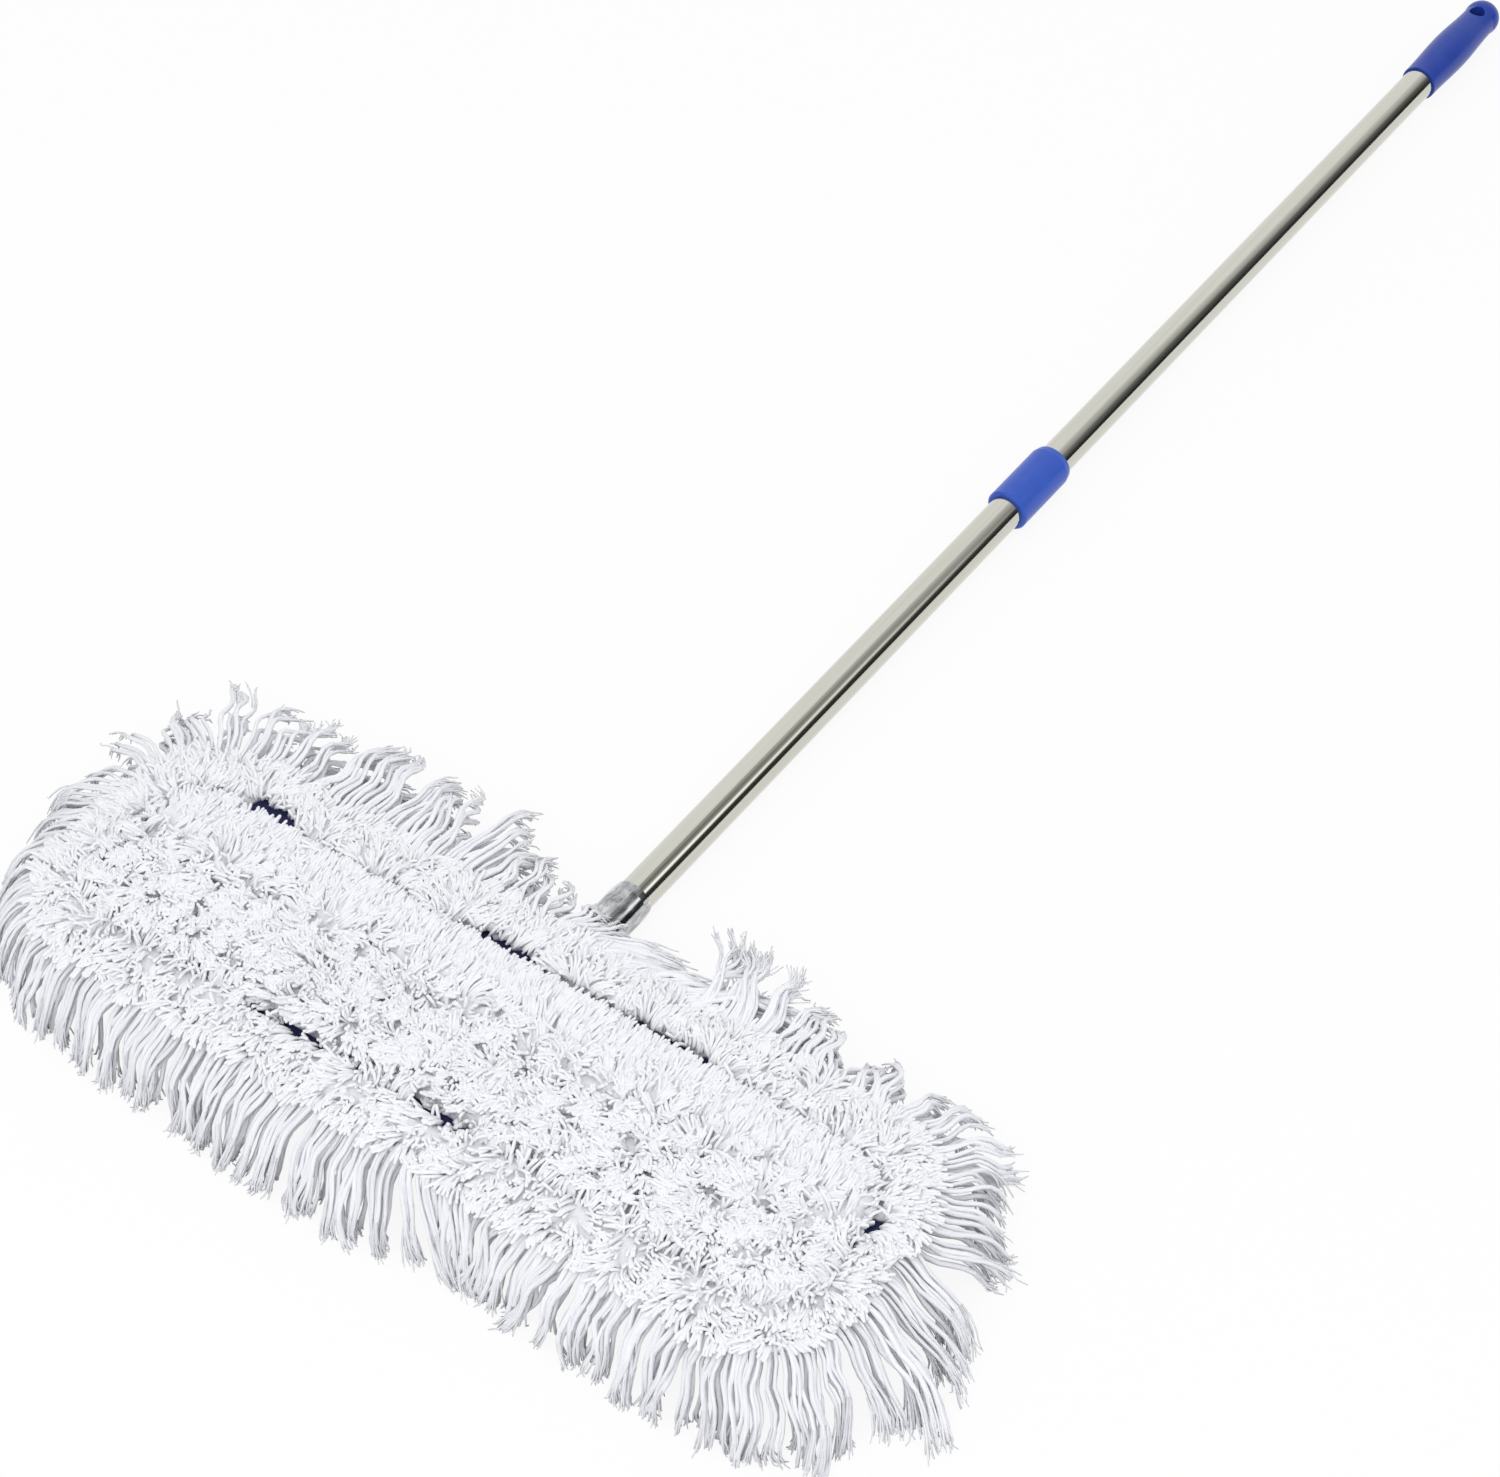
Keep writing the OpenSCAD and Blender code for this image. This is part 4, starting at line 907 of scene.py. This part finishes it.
def floor_tree(tree):
    """White floor: a diffuse surface, and for looking rays mostly plain white."""
    diffuse = put(tree, "BsdfDiffuse", {"Color": (0.9, 0.9, 0.9, 1)}).outputs[0]
    plain = put(tree, "Emission", {"Color": (1, 1, 1, 1), "Strength": 1.0}).outputs[0]
    share = worked(tree, "MULTIPLY", for_looking(tree), 0.9)
    mixed = put(tree, "MixShader", {0: share, 1: diffuse, 2: plain}).outputs[0]
    put(tree, "OutputMaterial", {"Surface": mixed})


# The walls' radius in metres, and how many degrees down from overhead they reach
wall_r, wall_to = 3.0, 92.0


def ramp(tree, source, stops):
    """The grey level at source, straight between stops of (place, level)."""
    made = put(tree, "ValToRGB", {"Fac": source})
    while len(made.color_ramp.elements) < len(stops):
        made.color_ramp.elements.new(0.5)
    for element, (at, level) in zip(made.color_ramp.elements, stops):
        element.position, element.color = at, (level, level, level, 1)
    return made.outputs["Color"]


def glow(tree, level):
    """Ends a tree in a white emission of that level."""
    shine = put(tree, "Emission", {"Color": (1, 1, 1, 1), "Strength": level}).outputs[0]
    put(tree, "OutputMaterial", {"Surface": shine})


def over_wall(tree, stops):
    """The level by the angle over the wall, in degrees from overhead, and the share of the way along it."""
    spread = put(tree, "UVMap", uv_map="spread").outputs["UV"]
    u, v, _ = put(tree, "SeparateXYZ", {"Vector": spread}).outputs
    return ramp(tree, u, [(angle / wall_to, level) for angle, level in stops]), v


def wall_tree(tree):
    """Bright overhead and dark above the floor; the part near the pad is dimmer overhead and has a bright strip, so
    that only the lower tube shows a streak. The stops hold two thirds of the levels."""
    far, v = over_wall(tree, (
        (0, 0.56), (8, 0.5), (20, 0.42), (28, 0.32), (31, 0.37), (37, 0.23), (48, 0.1), (62, 0.06), (76, 0.02),
        (89, 0.02), (91, 0.25),
    ))
    near, _ = over_wall(tree, (
        (0, 0.32), (10, 0.28), (24, 0.12), (34, 0.22), (41, 0.32), (44, 1), (55, 1), (59, 0.2), (64, 0.03),
        (89, 0.02), (91, 0.3),
    ))
    share = ramp(tree, v, [(0.0, 1), (0.2, 1), (0.45, 0)])
    glow(tree, worked(tree, "MULTIPLY", blended(tree, share, far, near), 1.5))


def back_tree(tree):
    """Bright overhead, and dark above the floor, for the tubes seen from the sides and behind; it fades to white
    where the front wall begins."""
    tone, v = over_wall(tree, ((0, 1), (26, 0.9), (46, 0.55), (64, 0.3), (68, 0.06), (86, 0.05), (91, 0.6)))
    fade = ramp(tree, v, [(0.86, 0), (1.0, 1)])
    glow(tree, blended(tree, fade, tone, (1, 1, 1, 1)))


floor_reach = np.linspace(-12, 12, 3)
floor_x, floor_y = np.meshgrid(floor_reach, floor_reach, indexing="ij")
stage_piece("studio_floor", floor_x, floor_y, 0 * floor_x - 0.2 * MM, floor_tree)
wall_angle, wall_share = np.meshgrid(np.radians(np.linspace(0, wall_to, 47)), np.linspace(0, 1, 3), indexing="ij")
for name, side, low, high, tree_of in (
    ("front", 1, 0.6, 5.0, wall_tree),
    ("back_right", 1, -5.0, 0.6, back_tree), ("back_left", -1, -5.0, 0.6, back_tree),
):
    wall_y = low + (high - low) * wall_share
    wall = stage_piece(
        f"studio_wall_{name}", side * wall_r * np.sin(wall_angle), wall_y, wall_r * np.cos(wall_angle), tree_of
    )
    wall.visible_camera = wall.visible_diffuse = wall.visible_shadow = wall.visible_transmission = False
    wall.active_material.cycles.emission_sampling = "NONE"

scene = bpy.context.scene
scene.world = bpy.data.worlds.new("studio")
scene.world.use_nodes = True
sky = scene.world.node_tree
sky.nodes.clear()
sky_level = put(sky, "MapRange", {"Value": for_looking(sky), "To Min": 0.86, "To Max": 1.0}).outputs["Result"]
sky_light = put(sky, "Background", {"Color": (1, 1, 1, 1), "Strength": sky_level}).outputs[0]
put(sky, "OutputWorld", {"Surface": sky_light})

lamp = bpy.data.lights.new("overhead_softbox", "AREA")
lamp.shape, lamp.size, lamp.energy = "SQUARE", 1.6, 17
softbox = bpy.data.objects.new("overhead_softbox", lamp)
softbox.location = (0.6, head_y - 1.2, 2.1)
softbox.rotation_euler = (Vector((0, head_y, 0)) - softbox.location).to_track_quat("-Z", "Y").to_euler()
softbox.visible_glossy = False
scene.collection.objects.link(softbox)

# Camera: above and in front of the pad's right end, looking along the handle to its grip.
# That is where the photograph was taken from.
lens = bpy.data.cameras.new("camera")
lens.sensor_width, lens.lens = 36, 93.6
camera = bpy.data.objects.new("camera", lens)
camera.location = (1.0041, head_y - 1.11413, 1.9184)
camera.rotation_euler = Vector((-0.39472, 0.5539, -0.73307)).to_track_quat("-Z", "Y").to_euler()
scene.collection.objects.link(camera)
scene.camera = camera
scene.view_settings.view_transform = "Standard"
